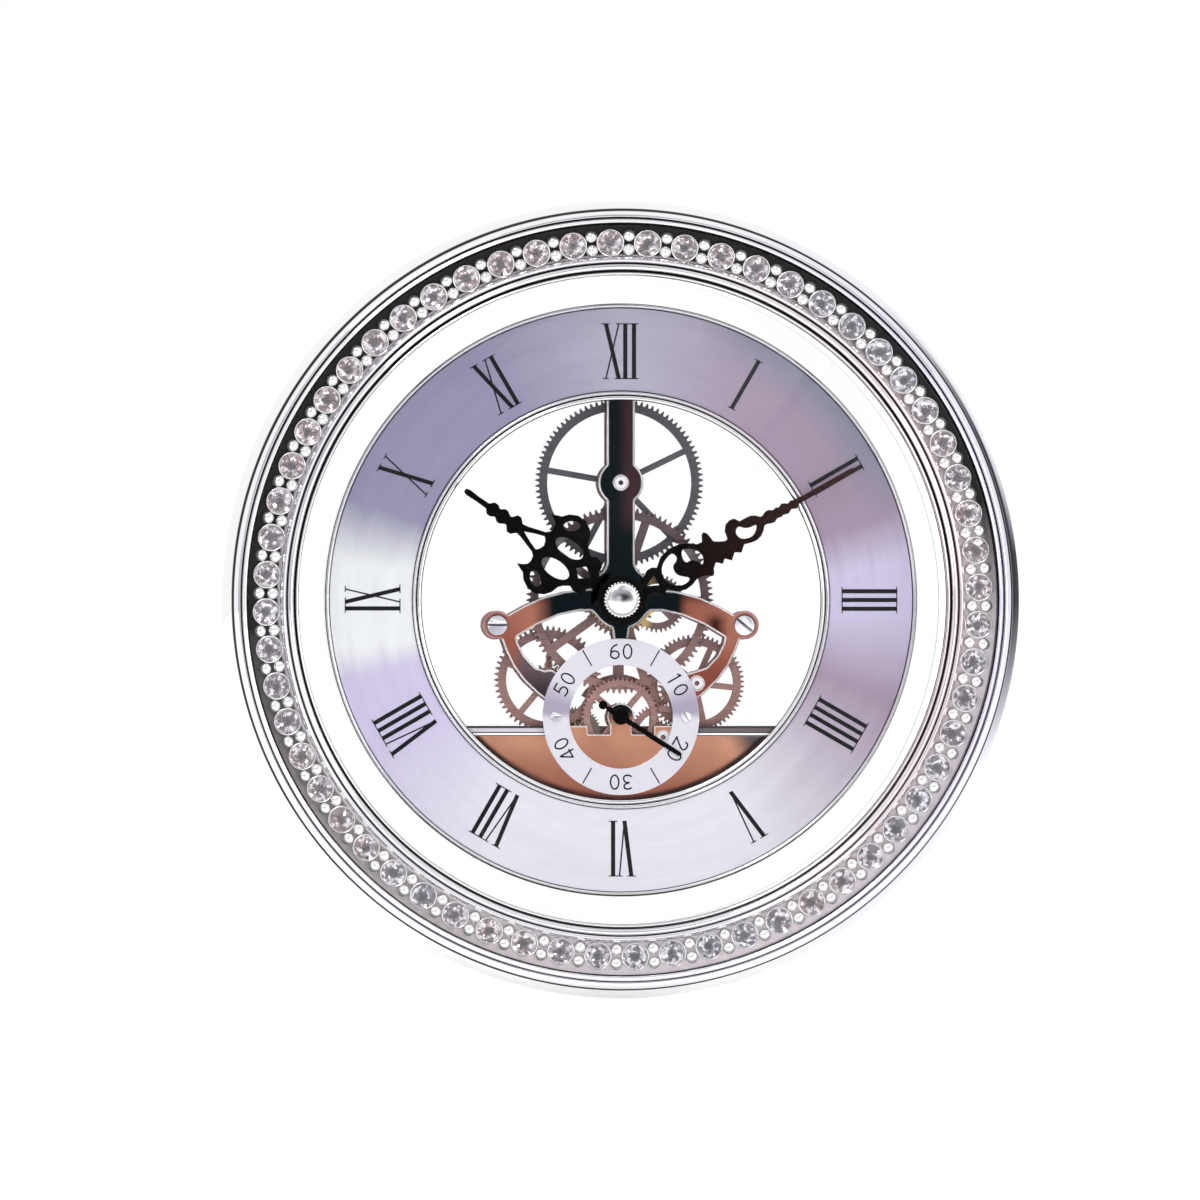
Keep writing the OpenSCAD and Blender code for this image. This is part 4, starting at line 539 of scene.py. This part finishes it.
def strip(at):
    """Backing strip, black. Painted shade keeps it black at the top and on its outer side, and painted light
    makes it a dusty grey where the room would light it.
    """
    x, z, r = on_face(at)
    # Painted shade: the outer side at the top stays black.
    walled = r.fade(68.6, 69.4) * (z / r).between(-0.1, 0.35)
    # Painted light: grey from below and along the inner edge.
    from_below = ((x * 0.6 - z * 0.8) / r - walled * 1.2).between(-0.6, 0.6)
    inner_edge = 0.8 - 0.8 * r.fade(64.85, 65.1)
    lit = most(from_below, inner_edge)
    # Dust in roughness and bump, which also varies the painted light.
    dust_and_sheen = noise(at, 700, detail=3)
    return {
        "Base Color": mixed(lit * (0.75 + 0.5 * dust_and_sheen), (0.012, 0.011, 0.012), (1.0, 0.92, 0.94)),
        "Metallic": lit * 0.9,
        "Roughness": 0.4 + 0.2 * dust_and_sheen,
        "Normal": bump(dust_and_sheen, 2e-5),
    }


finish("black_strip", strip)
finish("black_print", moulded((0.012, 0.012, 0.014), rough=0.5, depth=3e-6), Specular_IOR_Level=0.1)


def lacquer(at):
    """Lacquered hands: black, with painted brown light towards the right, where the warm side of the room would
    light them.
    """
    made = moulded((1.0, 1.0, 1.0), rough=0.35, depth=2e-6)(at)
    # Painted light: brown grows towards the right.
    made["Base Color"] = mixed(at.part("X").fade(10, 45), (0.002, 0.0015, 0.0015), (0.035, 0.009, 0.008))
    return made


finish("black_hand", lacquer, Specular_IOR_Level=0.05)
finish("jewel", moulded((0.86, 0.84, 0.9), rough=0.15, depth=1e-6), Coat_Weight=0.6)


def clear(edge, floor_alpha, rise):
    """Clear plate: alpha is nearly nothing face on and rises towards grazing angles."""
    def recipe(at):
        facing = at.node("ShaderNodeLayerWeight", None, {"Blend": 0.35}, out="Facing")
        smears = noise(at, 40, detail=3)
        return {
            "Base Color": edge,
            "Alpha": floor_alpha + rise * facing ** 2.0,
            "Roughness": 0.02 + 0.05 * smears.between(0.5, 0.8),
        }
    return recipe


finish("ring_plastic", moulded((0.82, 0.82, 0.83), rough=0.4, shade=0.95))
finish("clear_glass", clear((0.75, 0.8, 0.8), 0.0, 0.35), IOR=1.5)
finish("clear_plastic", clear((0.8, 0.8, 0.82), 0.06, 0.55), IOR=1.49)


wire_pitch = 0.12 * MM


def windings(at):
    """Enamelled wire: a painted highlight on the ridge of each wire, one wire apart along X, and painted shade
    between.
    """
    ridge = (at.part("X") * (math.tau / wire_pitch)).math("SINE") * 0.5 + 0.5
    # Painted highlight on the ridges and painted shade between them; the same ridges make the bump.
    return {
        "Base Color": mixed(ridge, (0.25, 0.07, 0.02), (0.75, 0.3, 0.12)),
        "Roughness": 0.25 + 0.2 * noise(at, 900),
        "Normal": bump(ridge, 3e-5),
    }


finish("coil_enamel", windings, Metallic=0.6)


def board(at):
    """Board coloured nearly black, painted shade for the shade it lies in; the broad tracks show a little."""
    edges = {"feature": "DISTANCE_TO_EDGE"}
    cells = at.node("ShaderNodeTexVoronoi", edges, {0: at, "Scale": 260}, out="Distance")
    track = cells.between(0.05, 0.09)
    return {
        "Base Color": mixed(track, (0.02, 0.016, 0.01), (0.05, 0.035, 0.02)),
        "Roughness": 0.3 + 0.1 * noise(at, 500),
        "Normal": bump(track, 2e-5),
    }


finish("board_green", board)


def jacket(at):
    """Plain battery sleeve: dark body, a warm band at the positive end, bare steel at both ends."""
    x = at.part("X")
    band = x.fade(13.9, 14.1)
    steel = abs(x).fade(24.25, 24.35)
    sleeve = mixed(band, (0.02, 0.021, 0.024), (0.62, 0.34, 0.14))
    grain = noise(at, 1200)
    return {
        "Base Color": mixed(steel, sleeve, (0.75, 0.75, 0.74)),
        "Metallic": steel * 0.9 + 0.1,
        "Roughness": 0.24 + 0.1 * grain,
        "Normal": bump(steel + grain * 0.05, 1e-5),
    }


finish("battery_jacket", jacket)

# %% [markdown]
# ## Finishing the frame's own pieces
# A plate cut from sheet never has a razor edge. A copy of each flat piece is welded, and a Bevel modifier breaks
# its edges with a thin slope that catches the light. Faces are shaded flat, so that no slope bleeds into the
# flat beside it.

# %% edged(): a bevelled copy of a node
bodies_of = {n: body for body, members in frame["record"]["behaviour"]["bodies"].items() for n in members}
slot_of = {n: o.data.materials[0].name.split(".")[0] for n, o in frame["nodes"].items()}


def settle(mesh, name, node, crease=35, smooth=True):
    """Shade a mesh smooth up to its creases, give it the node's finish and body, and hide the node."""
    piece = bpy.data.objects.new(name, mesh)
    bpy.context.scene.collection.objects.link(piece)
    mesh.polygons.foreach_set("use_smooth", np.full(len(mesh.polygons), smooth))
    mesh.set_sharp_from_angle(angle=math.radians(crease))
    mesh.materials.clear()
    mesh.materials.append(finishes[slot_of[node]])
    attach(piece, bodies_of[node])
    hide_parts(node)
    return piece


def welded(node):
    """A closed copy of a node's mesh, its doubled points merged."""
    work = bmesh.new()
    work.from_mesh(frame["nodes"][node].data)
    bmesh.ops.remove_doubles(work, verts=work.verts, dist=2e-6)
    mesh = bpy.data.meshes.new("edged_" + node)
    work.to_mesh(mesh)
    work.free()
    return mesh


def edged(node, width, segments=2, crease=35):
    """A copy of the node whose edges are broken by a bevel of that width in millimetres."""
    piece = settle(welded(node), "edged_" + node, node, crease, smooth=False)
    bevel = piece.modifiers.new("broken_edges", "BEVEL")
    bevel.width, bevel.segments = width * MM, segments
    bevel.limit_method, bevel.angle_limit = "ANGLE", math.radians(crease)
    bevel.use_clamp_overlap = False


edge_widths = {
    "dial_ring": 0.06, "seconds_dial": 0.06, "top_wheel": 0.07, "centre_wheel": 0.07,
    "left_wheel": 0.07, "right_wheel": 0.07, "transfer_wheel": 0.05, "seconds_wheel": 0.05, "idler_wheel": 0.05,
    "motion_wheel": 0.04, "hour_wheel": 0.04, "intermediate_wheel": 0.04, "hour_hand": 0.07, "minute_hand": 0.07,
    "seconds_hand": 0.04, "hand_washer": 0.05, "bridge_screws": 0.08, "seconds_dial_screws": 0.03,
    "back_plate_screws": 0.08, "rear_ring_screws": 0.06, "housing_post_screws": 0.08, "pivot_jewels": 0.06,
    "battery_contacts": 0.05,
}
for node, width in edge_widths.items():
    edged(node, width)
print("edged", len(edge_widths), "pieces")

# %% [markdown]
# ## Clear pieces
# Where two clear faces lie in the same place, each ray meets one or the other first and stripes appear. Every
# clear piece is therefore drawn in by a hundredth of a millimetre.

# %% set_off(): a clear piece with a little air round it
clear_finishes = ("clear_glass", "clear_plastic")


def set_off(node, gap=0.01):
    """A copy of a clear node drawn in by gap millimetres, so that its faces do not lie in its neighbours'."""
    piece = settle(welded(node), "clear_" + node, node, smooth=False)
    inset = piece.modifiers.new("inset", "DISPLACE")
    inset.mid_level, inset.strength = 0.0, -gap * MM


for node in [n for n, name in slot_of.items() if name in clear_finishes]:
    print("clear piece", node)
    set_off(node)

# %% [markdown]
# ## The pieces that stay as they are
# All other pieces keep the mesh of the frame, and only take their finish. The stones get theirs further down.

# %% finishes for the frame's own meshes
for node, thing in frame["nodes"].items():
    if slot_of[node] in finishes:
        for held in thing.material_slots:
            held.material = finishes[slot_of[node]]

# %% [markdown]
# ## Turned work
# A turned piece is a profile of radius and depth carried round the hand axis. The profile is worked out as
# arrays of half-round beads, and the grid of points is profile times angle.

# %% turned(): a surface of revolution
def bead(r0, y0, r1, y1, crest, n=14):
    """Half-round moulding from (r0, y0) to (r1, y1): a straight line lifted by crest times a half sine."""
    t = np.linspace(0, 1, n)
    return np.stack([r0 + (r1 - r0) * t, y0 + (y1 - y0) * t - crest * np.sin(np.pi * t)], 1)


def turned(profile, steps=512):
    """Closed ring: each profile point (r, y) goes to (r sin a, y, r cos a) for every angle a."""
    profile = np.asarray(profile, float) * MM
    n = len(profile)
    a = (np.arange(steps) * math.tau / steps)[:, None]
    r, y = profile[:, 0][None], profile[:, 1][None]
    points = np.stack([r * np.sin(a), np.broadcast_to(y, (steps, n)), r * np.cos(a)], 2)
    i, j = np.meshgrid(np.arange(steps), np.arange(n), indexing="ij")
    i2, j2 = (i + 1) % steps, (j + 1) % n
    quads = np.stack([i * n + j, i * n + j2, i2 * n + j2, i2 * n + j], 2).reshape(-1, 4)
    mesh = bpy.data.meshes.new("turned")
    mesh.from_pydata(points.reshape(-1, 3), [], quads)
    return mesh


def facing_out(mesh):
    """Turn all faces of a closed mesh outwards."""
    work = bmesh.new()
    work.from_mesh(mesh)
    bmesh.ops.recalc_face_normals(work, faces=work.faces)
    work.to_mesh(mesh)
    work.free()
    return mesh


# %% [markdown]
# ## The bezel
# Two groups of mouldings with a channel between them for the stones. The sizes are the frame's, a hair larger
# in radius. The beads of each group are placed by shares of the group's width.

# %% bezel profile
crest_y, sight_r, flange_r = -11.0, 61.005, 75.005        # front plane, sight opening and outside
channel_in, channel_out, floor_y = 64.505, 70.565, -7.0   # the channel's walls and floor
glass_r, glass_y, seat_y = 62.505, -9.2, -6.0             # recess of the glass: its wall, front and rear
spigot_r, register_r, spigot_step = 65.655, 64.555, 1.1   # cone that sits on the case ring
lip_w, outer_w = 3.5, flange_r - channel_out              # widths of the inner and the outer group
bezel_profile = np.concatenate([
    [[sight_r, glass_y]],
    bead(sight_r, crest_y + 1.1, sight_r + 0.2 * lip_w, crest_y + 1, 0.3),
    bead(sight_r + 0.24 * lip_w, crest_y + 1, sight_r + 0.62 * lip_w, crest_y + 0.7, 0.5),
    bead(sight_r + 0.66 * lip_w, crest_y + 0.7, sight_r + 0.97 * lip_w, crest_y + 0.9, 0.7),
    [[channel_in, crest_y + 1.4], [channel_in, floor_y], [channel_out, floor_y], [channel_out, crest_y + 1.4]],
    bead(channel_out + 0.02 * outer_w, crest_y + 0.9, channel_out + 0.25 * outer_w, crest_y + 1.3, 0.8),
    bead(channel_out + 0.29 * outer_w, crest_y + 1.6, channel_out + 0.65 * outer_w, crest_y + 3.6, 0.8, 18),
    bead(channel_out + 0.69 * outer_w, crest_y + 4.2, flange_r, -2.2, 0.5, 20),
    [[flange_r, -0.4], [flange_r - 0.4, 0]],
    [[spigot_r, 0], [register_r, -spigot_step], [register_r, seat_y], [glass_r, seat_y], [glass_r, glass_y]],
])
settle(facing_out(turned(bezel_profile, 720)), "bezel_mouldings", "front_bezel", crease=28)
print("bezel profile points", len(bezel_profile))

# %% dial rims
opening_r, dial_in_r = 37.605, 39.405     # inner rim
dial_out_r, dial_edge_r = 54.905, 55.805  # outer rim
dial_y = -2.3                             # face of the dial
outer_rim = np.concatenate([[[dial_edge_r, dial_y + 0.5], [dial_out_r, dial_y + 0.5]],
                            bead(dial_out_r, dial_y, dial_edge_r, dial_y, 0.6, 18)])
inner_rim = np.concatenate([[[dial_in_r, dial_y + 0.5], [opening_r, dial_y + 0.5]],
                            bead(opening_r, dial_y, opening_r + 0.9, dial_y, 0.3, 14),
                            bead(opening_r + 0.93, dial_y, dial_in_r, dial_y, 0.6, 18)])
settle(facing_out(turned(outer_rim, 640)), "outer_rim", "dial_outer_rim", crease=28)
settle(facing_out(turned(inner_rim, 512)), "inner_rim", "dial_inner_rim", crease=28)

# %% [markdown]
# ## Stones
# Each stone is a small round brilliant: a flat table, eight kite facets, sixteen girdle facets, and a pavilion
# with a foil that throws the light back. What the eye sees through the table is the star of the pavilion, so
# two meshes make it: a star of tilted mirrors at the bottom, and a clear crown over it.

# %% repeating a small mesh round the ring
stone_r, stone_ring_r, girdle_y, table_y = 2.35, 67.16, -9.0, -9.832
stone_count, first_stone = 60, -2  # the first stone stands 2 degrees before 12 o'clock
stone_angles = np.radians(first_stone + 360 // stone_count * np.arange(stone_count))
rng = np.random.default_rng(7)


def ring_points(r, y, n, phase=0.0):
    """n points at radius r round the piece's own axis: (r sin a, y, r cos a)."""
    a = (np.arange(n) + phase) * math.tau / n
    return np.stack([r * np.sin(a), np.full(n, float(y)), r * np.cos(a)], 1)


def spread(points, faces, angles, ring_r, turns=0.0, tilt=0.0):
    """Copies of a small mesh: each is turned on its axis, tipped a little, and set round the ring."""
    n = len(angles)
    c, s = (f(np.broadcast_to(turns, n))[:, None] for f in (np.cos, np.sin))
    lean_x, lean_z = np.broadcast_to(tilt, (2, n))[:, :, None] if np.ndim(tilt) else np.zeros((2, n, 1))
    x, y, z = (points[:, k][None] for k in range(3))
    x, z = x * c - z * s, x * s + z * c
    y = y + lean_x * x + lean_z * z
    z = z + ring_r
    ca, sa = np.cos(angles)[:, None], np.sin(angles)[:, None]
    out = np.stack([x * ca + z * sa, y, z * ca - x * sa], 2) * MM
    every = [[v + k * len(points) for v in f] for k in range(n) for f in faces]
    mesh = bpy.data.meshes.new("spread")
    mesh.from_pydata(out.reshape(-1, 3), [], every)
    return facing_out(mesh)


def bands(rings):
    """Faces between rings of equal count, one after the other, closed by a cap at each end."""
    n, k = len(rings[0]), len(rings)
    quads = [[a * n + i, a * n + (i + 1) % n, (a + 1) * n + (i + 1) % n, (a + 1) * n + i]
             for a in range(k - 1) for i in range(n)]
    return np.concatenate(rings), quads + [list(range(n)), [(k - 1) * n + i for i in range(n)]]


# %% crowns and stars
sides, facets = 8, 16  # sides of the table, and facets of the girdle
kites, girdle, base = sides, 2 * sides, 2 * sides + facets  # first point of each ring after the table's
crown = np.concatenate([
    ring_points(stone_r * 0.56, table_y, sides), ring_points(stone_r * 0.82, table_y + 0.34, sides, 0.5),
    ring_points(stone_r, girdle_y, facets), ring_points(stone_r, girdle_y + 0.15, facets),
])
crown_faces = [list(range(sides))]
for k in range(sides):
    following, kite, kite_before = (k + 1) % sides, kites + k, kites + (k - 1) % sides
    low, mid, high = girdle + 2 * k, girdle + 2 * k + 1, girdle + (2 * k + 2) % facets
    crown_faces += [[k, kite, following], [k, low, kite], [following, kite, high], [kite, low, mid],
                    [kite, mid, high], [k, kite_before, low]]
crown_faces += [[girdle + k, base + k, base + (k + 1) % facets, girdle + (k + 1) % facets] for k in range(facets)]
crown_faces.append(list(range(base, base + facets)))
turns = rng.uniform(0, math.tau / sides, stone_count)
leans = rng.normal(0, 0.03, (2, stone_count))
crowns = spread(crown, crown_faces, stone_angles, stone_ring_r, turns, leans)

star_rings = ((0.95, 0.62, 0.5), (1.5, 0.5, 0.0), (2.25, 0.2, 0.5), (2.25, 1.3, 0.5))  # r, drop, phase
star = np.concatenate([[[0, girdle_y + 1.15, 0]]] + [ring_points(r, girdle_y + drop, facets, phase)
                                                     for r, drop, phase in star_rings])
inner, middle, outer, foot = (1 + facets * ring for ring in range(len(star_rings)))  # first point of each ring
star[inner:middle:2, 1] -= 0.2
star[middle:outer:2, 1] += 0.22
star_faces = []
for k in range(facets):
    n = (k + 1) % facets
    star_faces += [[0, inner + k, inner + n], [inner + k, middle + n, inner + n],
                   [inner + k, middle + k, middle + n], [middle + k, outer + k, middle + n],
                   [middle + n, outer + k, outer + n], [outer + k, foot + k, foot + n, outer + n]]
star_faces.append(list(range(foot, foot + facets)))
stars = spread(star, star_faces, stone_angles, stone_ring_r, turns + 0.2, leans)


# %% stone finishes
def foil(at):
    """Silver foil under the stones: painted sparkle in dark and bright cells about 0.7 millimetre wide, and a
    painted dark reflection, an eye, in each stone's middle.

    The stones stand one pitch apart, so the place in a stone is its radius less the ring's, and the rest of its
    angle divided by the pitch, times the radius.
    """
    sparks = at.node("ShaderNodeTexVoronoi", {"feature": "F1"}, {0: at, "Scale": 1500}, out="Color").part("X")
    x, z, r = on_face(at)
    pitch = math.tau / stone_count
    count = (x.math("ARCTAN2", z) + math.tau - stone_angles[0]) / pitch + 0.5
    along = (count.math("FRACT") - 0.5) * pitch * r
    # Painted reflection: the dark eye in each stone's middle.
    eye = 1 - radius(r - stone_ring_r * MM, along).fade(0.5, 1.2)
    patches = noise(at, 30)
    # Painted sparkle: each cell dark or bright.
    dark = mixed(patches.between(0.4, 0.6), (0.11, 0.1, 0.13), (0.2, 0.12, 0.11))
    bright = mixed(patches.between(0.35, 0.65), (0.86, 0.85, 0.92), (0.9, 0.84, 0.86))
    silver = mixed(sparks.between(0.38, 0.74), dark, bright)
    return {"Base Color": mixed(eye * 0.8, silver, (0.05, 0.045, 0.06)), "Roughness": 0.03 + 0.1 * sparks}


def cut_glass(at):
    """Clear crown: facets show by their sheen, more towards the rim."""
    facing = at.node("ShaderNodeLayerWeight", None, {"Blend": 0.3}, out="Facing")
    wear = noise(at, 700)
    return {"Base Color": (0.92, 0.9, 0.94), "Alpha": 0.08 + 0.3 * facing, "Roughness": 0.02 + 0.05 * wear}


finish("stone_foil", foil, Metallic=1.0)
finish("crystal", cut_glass, IOR=1.6, Coat_Weight=1.0, Coat_Roughness=0.02)
settle(crowns, "stone_crowns", "crystal_stones", crease=5)
star_piece = settle(stars, "stone_stars", "crystal_stones", crease=5)
star_piece.data.materials[0] = finishes["stone_foil"]

# %% [markdown]
# ## The setting
# Every stone sits in a thin cup with a rolled lip, and two solid beads fill each gap between neighbours. Both
# are surfaces of revolution round their own axis, repeated round the ring.

# %% cups and beads
def profile_rings(profile, steps):
    """Rings of a small turned piece, from its first profile point (r, y) to its last."""
    return [ring_points(r, y, steps) for r, y in profile]


cup_out, cup_in, cup_y, cup_foot = 2.6, 2.35, -8.98, -7.4
lip_r, lip_y = (cup_out + cup_in) / 2, 0.14
lip = np.linspace(0.5, -0.5, 5) * np.pi
cup_profile = [(cup_out, cup_foot)]
cup_profile += [(lip_r + (cup_out - lip_r) * np.sin(a), cup_y - lip_y * np.cos(a)) for a in lip]
cup_profile += [(cup_in, -8.6), (2.3, -7.6), (0.02, -7.6)]
cups = spread(*bands(profile_rings(cup_profile, 28)), stone_angles, stone_ring_r)

bead_r, bead_h, bead_y, bead_off = 1.16, 1.05, -8.45, 1.35  # bead_off: from the stones' circle
polar = np.linspace(0.04, np.pi - 0.04, 13)
ball = [(bead_r * np.sin(a), bead_y - bead_h * np.cos(a)) for a in polar]
ball_angles = stone_angles + np.pi / stone_count
work = bmesh.new()
for reach in (stone_ring_r - bead_off, stone_ring_r + bead_off):
    work.from_mesh(spread(*bands(profile_rings(ball, 20)), ball_angles, reach))
work.from_mesh(cups)
setting = bpy.data.meshes.new("setting")
work.to_mesh(setting)
work.free()
settle(setting, "cups_and_beads", "stone_setting", crease=50)

# %% [markdown]
# ## The hand nut
# A knurled nut with a low dome. Its outline is a circle whose radius dips thirty times, and the dips fade out
# where the dome begins, so one grid of radius, angle and height makes it.

# %% knurled nut
def knurled(profile, flutes, depth, steps):
    """Grid of (r, y, share) rings: each radius r is cut by share times depth times (1 - cos(flutes a)) / 2."""
    a = np.arange(steps) * math.tau / steps
    rings = []
    for r, y, share in profile:
        cut = r - share * depth * (1 - np.cos(flutes * a)) / 2
        rings.append(np.stack([cut * np.sin(a), np.full(steps, float(y)), cut * np.cos(a)], 1))
    points, faces = bands(rings)
    mesh = bpy.data.meshes.new("knurled")
    mesh.from_pydata(points * MM, [], faces)
    return facing_out(mesh)


dome_r, dome_y, dome_h = 2.7, -6.3, 0.49
climb = np.linspace(0, np.pi / 2, 14)
nut_profile = [(3.2, -5.6, 1), (3.46, -5.72, 1), (3.46, -6.18, 1), (3.34, -6.3, 0.9), (3.0, -6.34, 0.5),
               (2.78, -6.3, 0)]
nut_profile += [(dome_r * np.cos(t) + 0.01, dome_y - dome_h * np.sin(t), 0) for t in climb]
settle(knurled(nut_profile, flutes=30, depth=0.22, steps=360), "knurled_nut", "hand_nut", crease=40)

# %% [markdown]
# ## Camera, floor and light
# The camera stands a little to the left and a little below, far away with a long lens. The floor and the world
# are white to the camera and through glass, and give plain soft light. A mirror that looks back past the camera
# sees soft grey patches, like the things in a room.

# %% camera
centre = Vector((-0.00386, 0, 0))
distance, frame_width, sensor_width = 8.0, 0.2259, 36
azimuth, elevation = math.radians(-2.8), math.radians(-0.4)
towards = Vector((math.sin(azimuth) * math.cos(elevation), -math.cos(azimuth) * math.cos(elevation),
                  math.sin(elevation)))
camera = bpy.data.objects.new("camera", bpy.data.cameras.new("camera"))
camera.location = centre + distance * towards
camera.rotation_euler = (-towards).to_track_quat("-Z", "Y").to_euler()
camera.data.lens = sensor_width * distance / frame_width
camera.data.sensor_width = sensor_width
bpy.context.scene.collection.objects.link(camera)
bpy.context.scene.camera = camera

# %% world
world = bpy.data.worlds.new("studio")
bpy.context.scene.world = world
world.use_nodes = True
sky = Wire(world.node_tree)
camera_ray, glossy_ray, through_ray = (sky.node("ShaderNodeLightPath", out=kind) for kind in (
    "Is Camera Ray", "Is Glossy Ray", "Is Transmission Ray"))
aim = sky.node("ShaderNodeTexCoord", out="Generated")
patch = sky.node("ShaderNodeTexNoise", None, {"Vector": aim, "Scale": 4.0, "Detail": 1.0})
room = mixed(patch.between(0.46, 0.56), (1, 1, 1), (0.34, 0.32, 0.38))
ahead = 1 - aim.part("Y").between(-0.55, -0.3)
plain = mixed(glossy_ray * ahead, (1, 1, 1), room)
shown = (camera_ray + glossy_ray + through_ray).between(0, 1)
background = world.node_tree.nodes["Background"]
world.node_tree.links.new(plain.socket, background.inputs["Color"])
world.node_tree.links.new((0.75 + 0.25 * shown).socket, background.inputs["Strength"])

# %% floor
low = min(corner[2] for corner in cad_box)
half = 3.0
floor_mesh = bpy.data.meshes.new("floor")
floor_mesh.from_pydata([(-half, -half, low), (half, -half, low), (half, half, low), (-half, half, low)],
                       [], [(0, 1, 2, 3)])
floor = bpy.data.objects.new("floor", floor_mesh)
bpy.context.scene.collection.objects.link(floor)


def pale_floor(at):
    """Plain pale floor. Its glow keeps it white to the camera, and the clock's shadow on it stays faint."""
    return {"Base Color": (0.9, 0.9, 0.9), "Emission Color": (1.0, 1.0, 1.0)}


floor_mesh.materials.append(finish("pale_floor", pale_floor, Roughness=0.6, Emission_Strength=0.34))


# %% [markdown]
# ## What the mirrors see
# A polished plate that faces the camera shows what stands behind the camera. In this studio that is a dim
# lilac room with a nearly black middle, and a warm table edge below. One large card behind the camera plays
# that part, and the camera looks through it. Its pattern is written in millimetres on the bridge, and the law
# of reflection scales it up.

# %% the card behind the camera
card_y, card_half = -2.6, 1.1
reach = -card_y / distance
card_mesh = bpy.data.meshes.new("studio_card")
card_mesh.from_pydata([(-card_half, card_y, -card_half), (-card_half, card_y, card_half),
                       (card_half, card_y, card_half), (card_half, card_y, -card_half)], [], [(0, 1, 2, 3)])
card = bpy.data.objects.new("studio_card", card_mesh)
bpy.context.scene.collection.objects.link(card)
card.visible_camera = card.visible_diffuse = card.visible_shadow = card.visible_transmission = False


def window(value, rise, fall):
    """Mask that goes from 0 to 1 over the two values of rise, and back to 0 over those of fall."""
    return value.between(*rise) * (1 - value.between(*fall))


def card_picture(at):
    """Emission of the card. u and v are the place on the bridge, in mm, that mirrors this point of the card."""
    u = (at.part("X") + camera.location.x * reach) / ((1 + reach) * MM)
    v = (at.part("Z") + camera.location.z * reach) / ((1 + reach) * MM)
    left, down, far = -u, -v, radius(u, v)
    stain = noise(at, 60, detail=3).between(0.35, 0.65)

    # The arms show copper, darker lower down, with a dark spot on the right.
    copper = mixed(stain, (0.29, 0.09, 0.065), (0.47, 0.19, 0.13))
    copper = mixed(down.between(8, 14), copper, (0.27, 0.08, 0.055))
    spot = window(u, (15.5, 17.5), (18.2, 20.5)) * window(down, (2, 4), (7, 9))
    copper = mixed(spot, copper, (0.06, 0.018, 0.014))

    # The bottom plate shows tan, with dark and pale streaks at its right end and a dark outer edge.
    tan = mixed(stain, (0.5, 0.23, 0.15), (0.7, 0.36, 0.24))
    tan = mixed(down.between(27, 36), tan, (0.36, 0.13, 0.09))
    broad = noise(at, 14, (1, 1, 6), detail=2).between(0.45, 0.6)
    streaks = mixed(broad, (0.03, 0.035, 0.04), (0.5, 0.47, 0.48))
    tan = mixed((u - down * 0.6).between(4, 9), tan, streaks)
    tan = mixed(far.between(36.5, 37.1), tan, (0.03, 0.018, 0.018))

    # The bar shows the dark, the arms the copper, the left loop a dim grey, and the plate the tan.
    night = mixed(u.between(-0.5, 1.5) * v.between(12, 16), (0.006, 0.011, 0.014), (0.05, 0.024, 0.03))
    arms = most(u.between(11, 12.6), left.between(12.8, 16.8)) * down.between(-2, 1)
    core = mixed(arms, night, copper)
    loop = window(left, (2, 6), (18, 20.5)) * down.between(7, 10)
    core = mixed(loop, core, mixed(down.between(12, 17), (0.16, 0.12, 0.14), (0.05, 0.04, 0.045)))
    core = mixed(down.between(21, 23.5), core, tan)

    # Far from the middle is the dim lilac room.
    rim = mixed(v.between(-600, 600), (0.85, 0.84, 0.9), (0.42, 0.41, 0.5))
    return {"Base Color": (0.0, 0.0, 0.0), "Emission Color": mixed(far.between(60, 130), core, rim)}


card_finish = finish("studio_card", card_picture, Roughness=1.0, Specular_IOR_Level=0.0, Emission_Strength=1.0)
card_mesh.materials.append(card_finish)


# %% lamps
def lamp(name, place, size, power):
    """A soft round lamp at place that looks at the middle of the clock."""
    data = bpy.data.lights.new(name, "AREA")
    data.shape, data.size, data.energy = "DISK", size, power
    thing = bpy.data.objects.new(name, data)
    thing.location = place
    thing.rotation_euler = (-Vector(place)).to_track_quat("-Z", "Y").to_euler()
    bpy.context.scene.collection.objects.link(thing)


lamp("key", place=(-0.5, -0.8, 0.9), size=0.5, power=5)
lamp("fill", place=(0.8, -0.7, 0.2), size=0.6, power=2)

bpy.context.scene.view_settings.view_transform = "Standard"
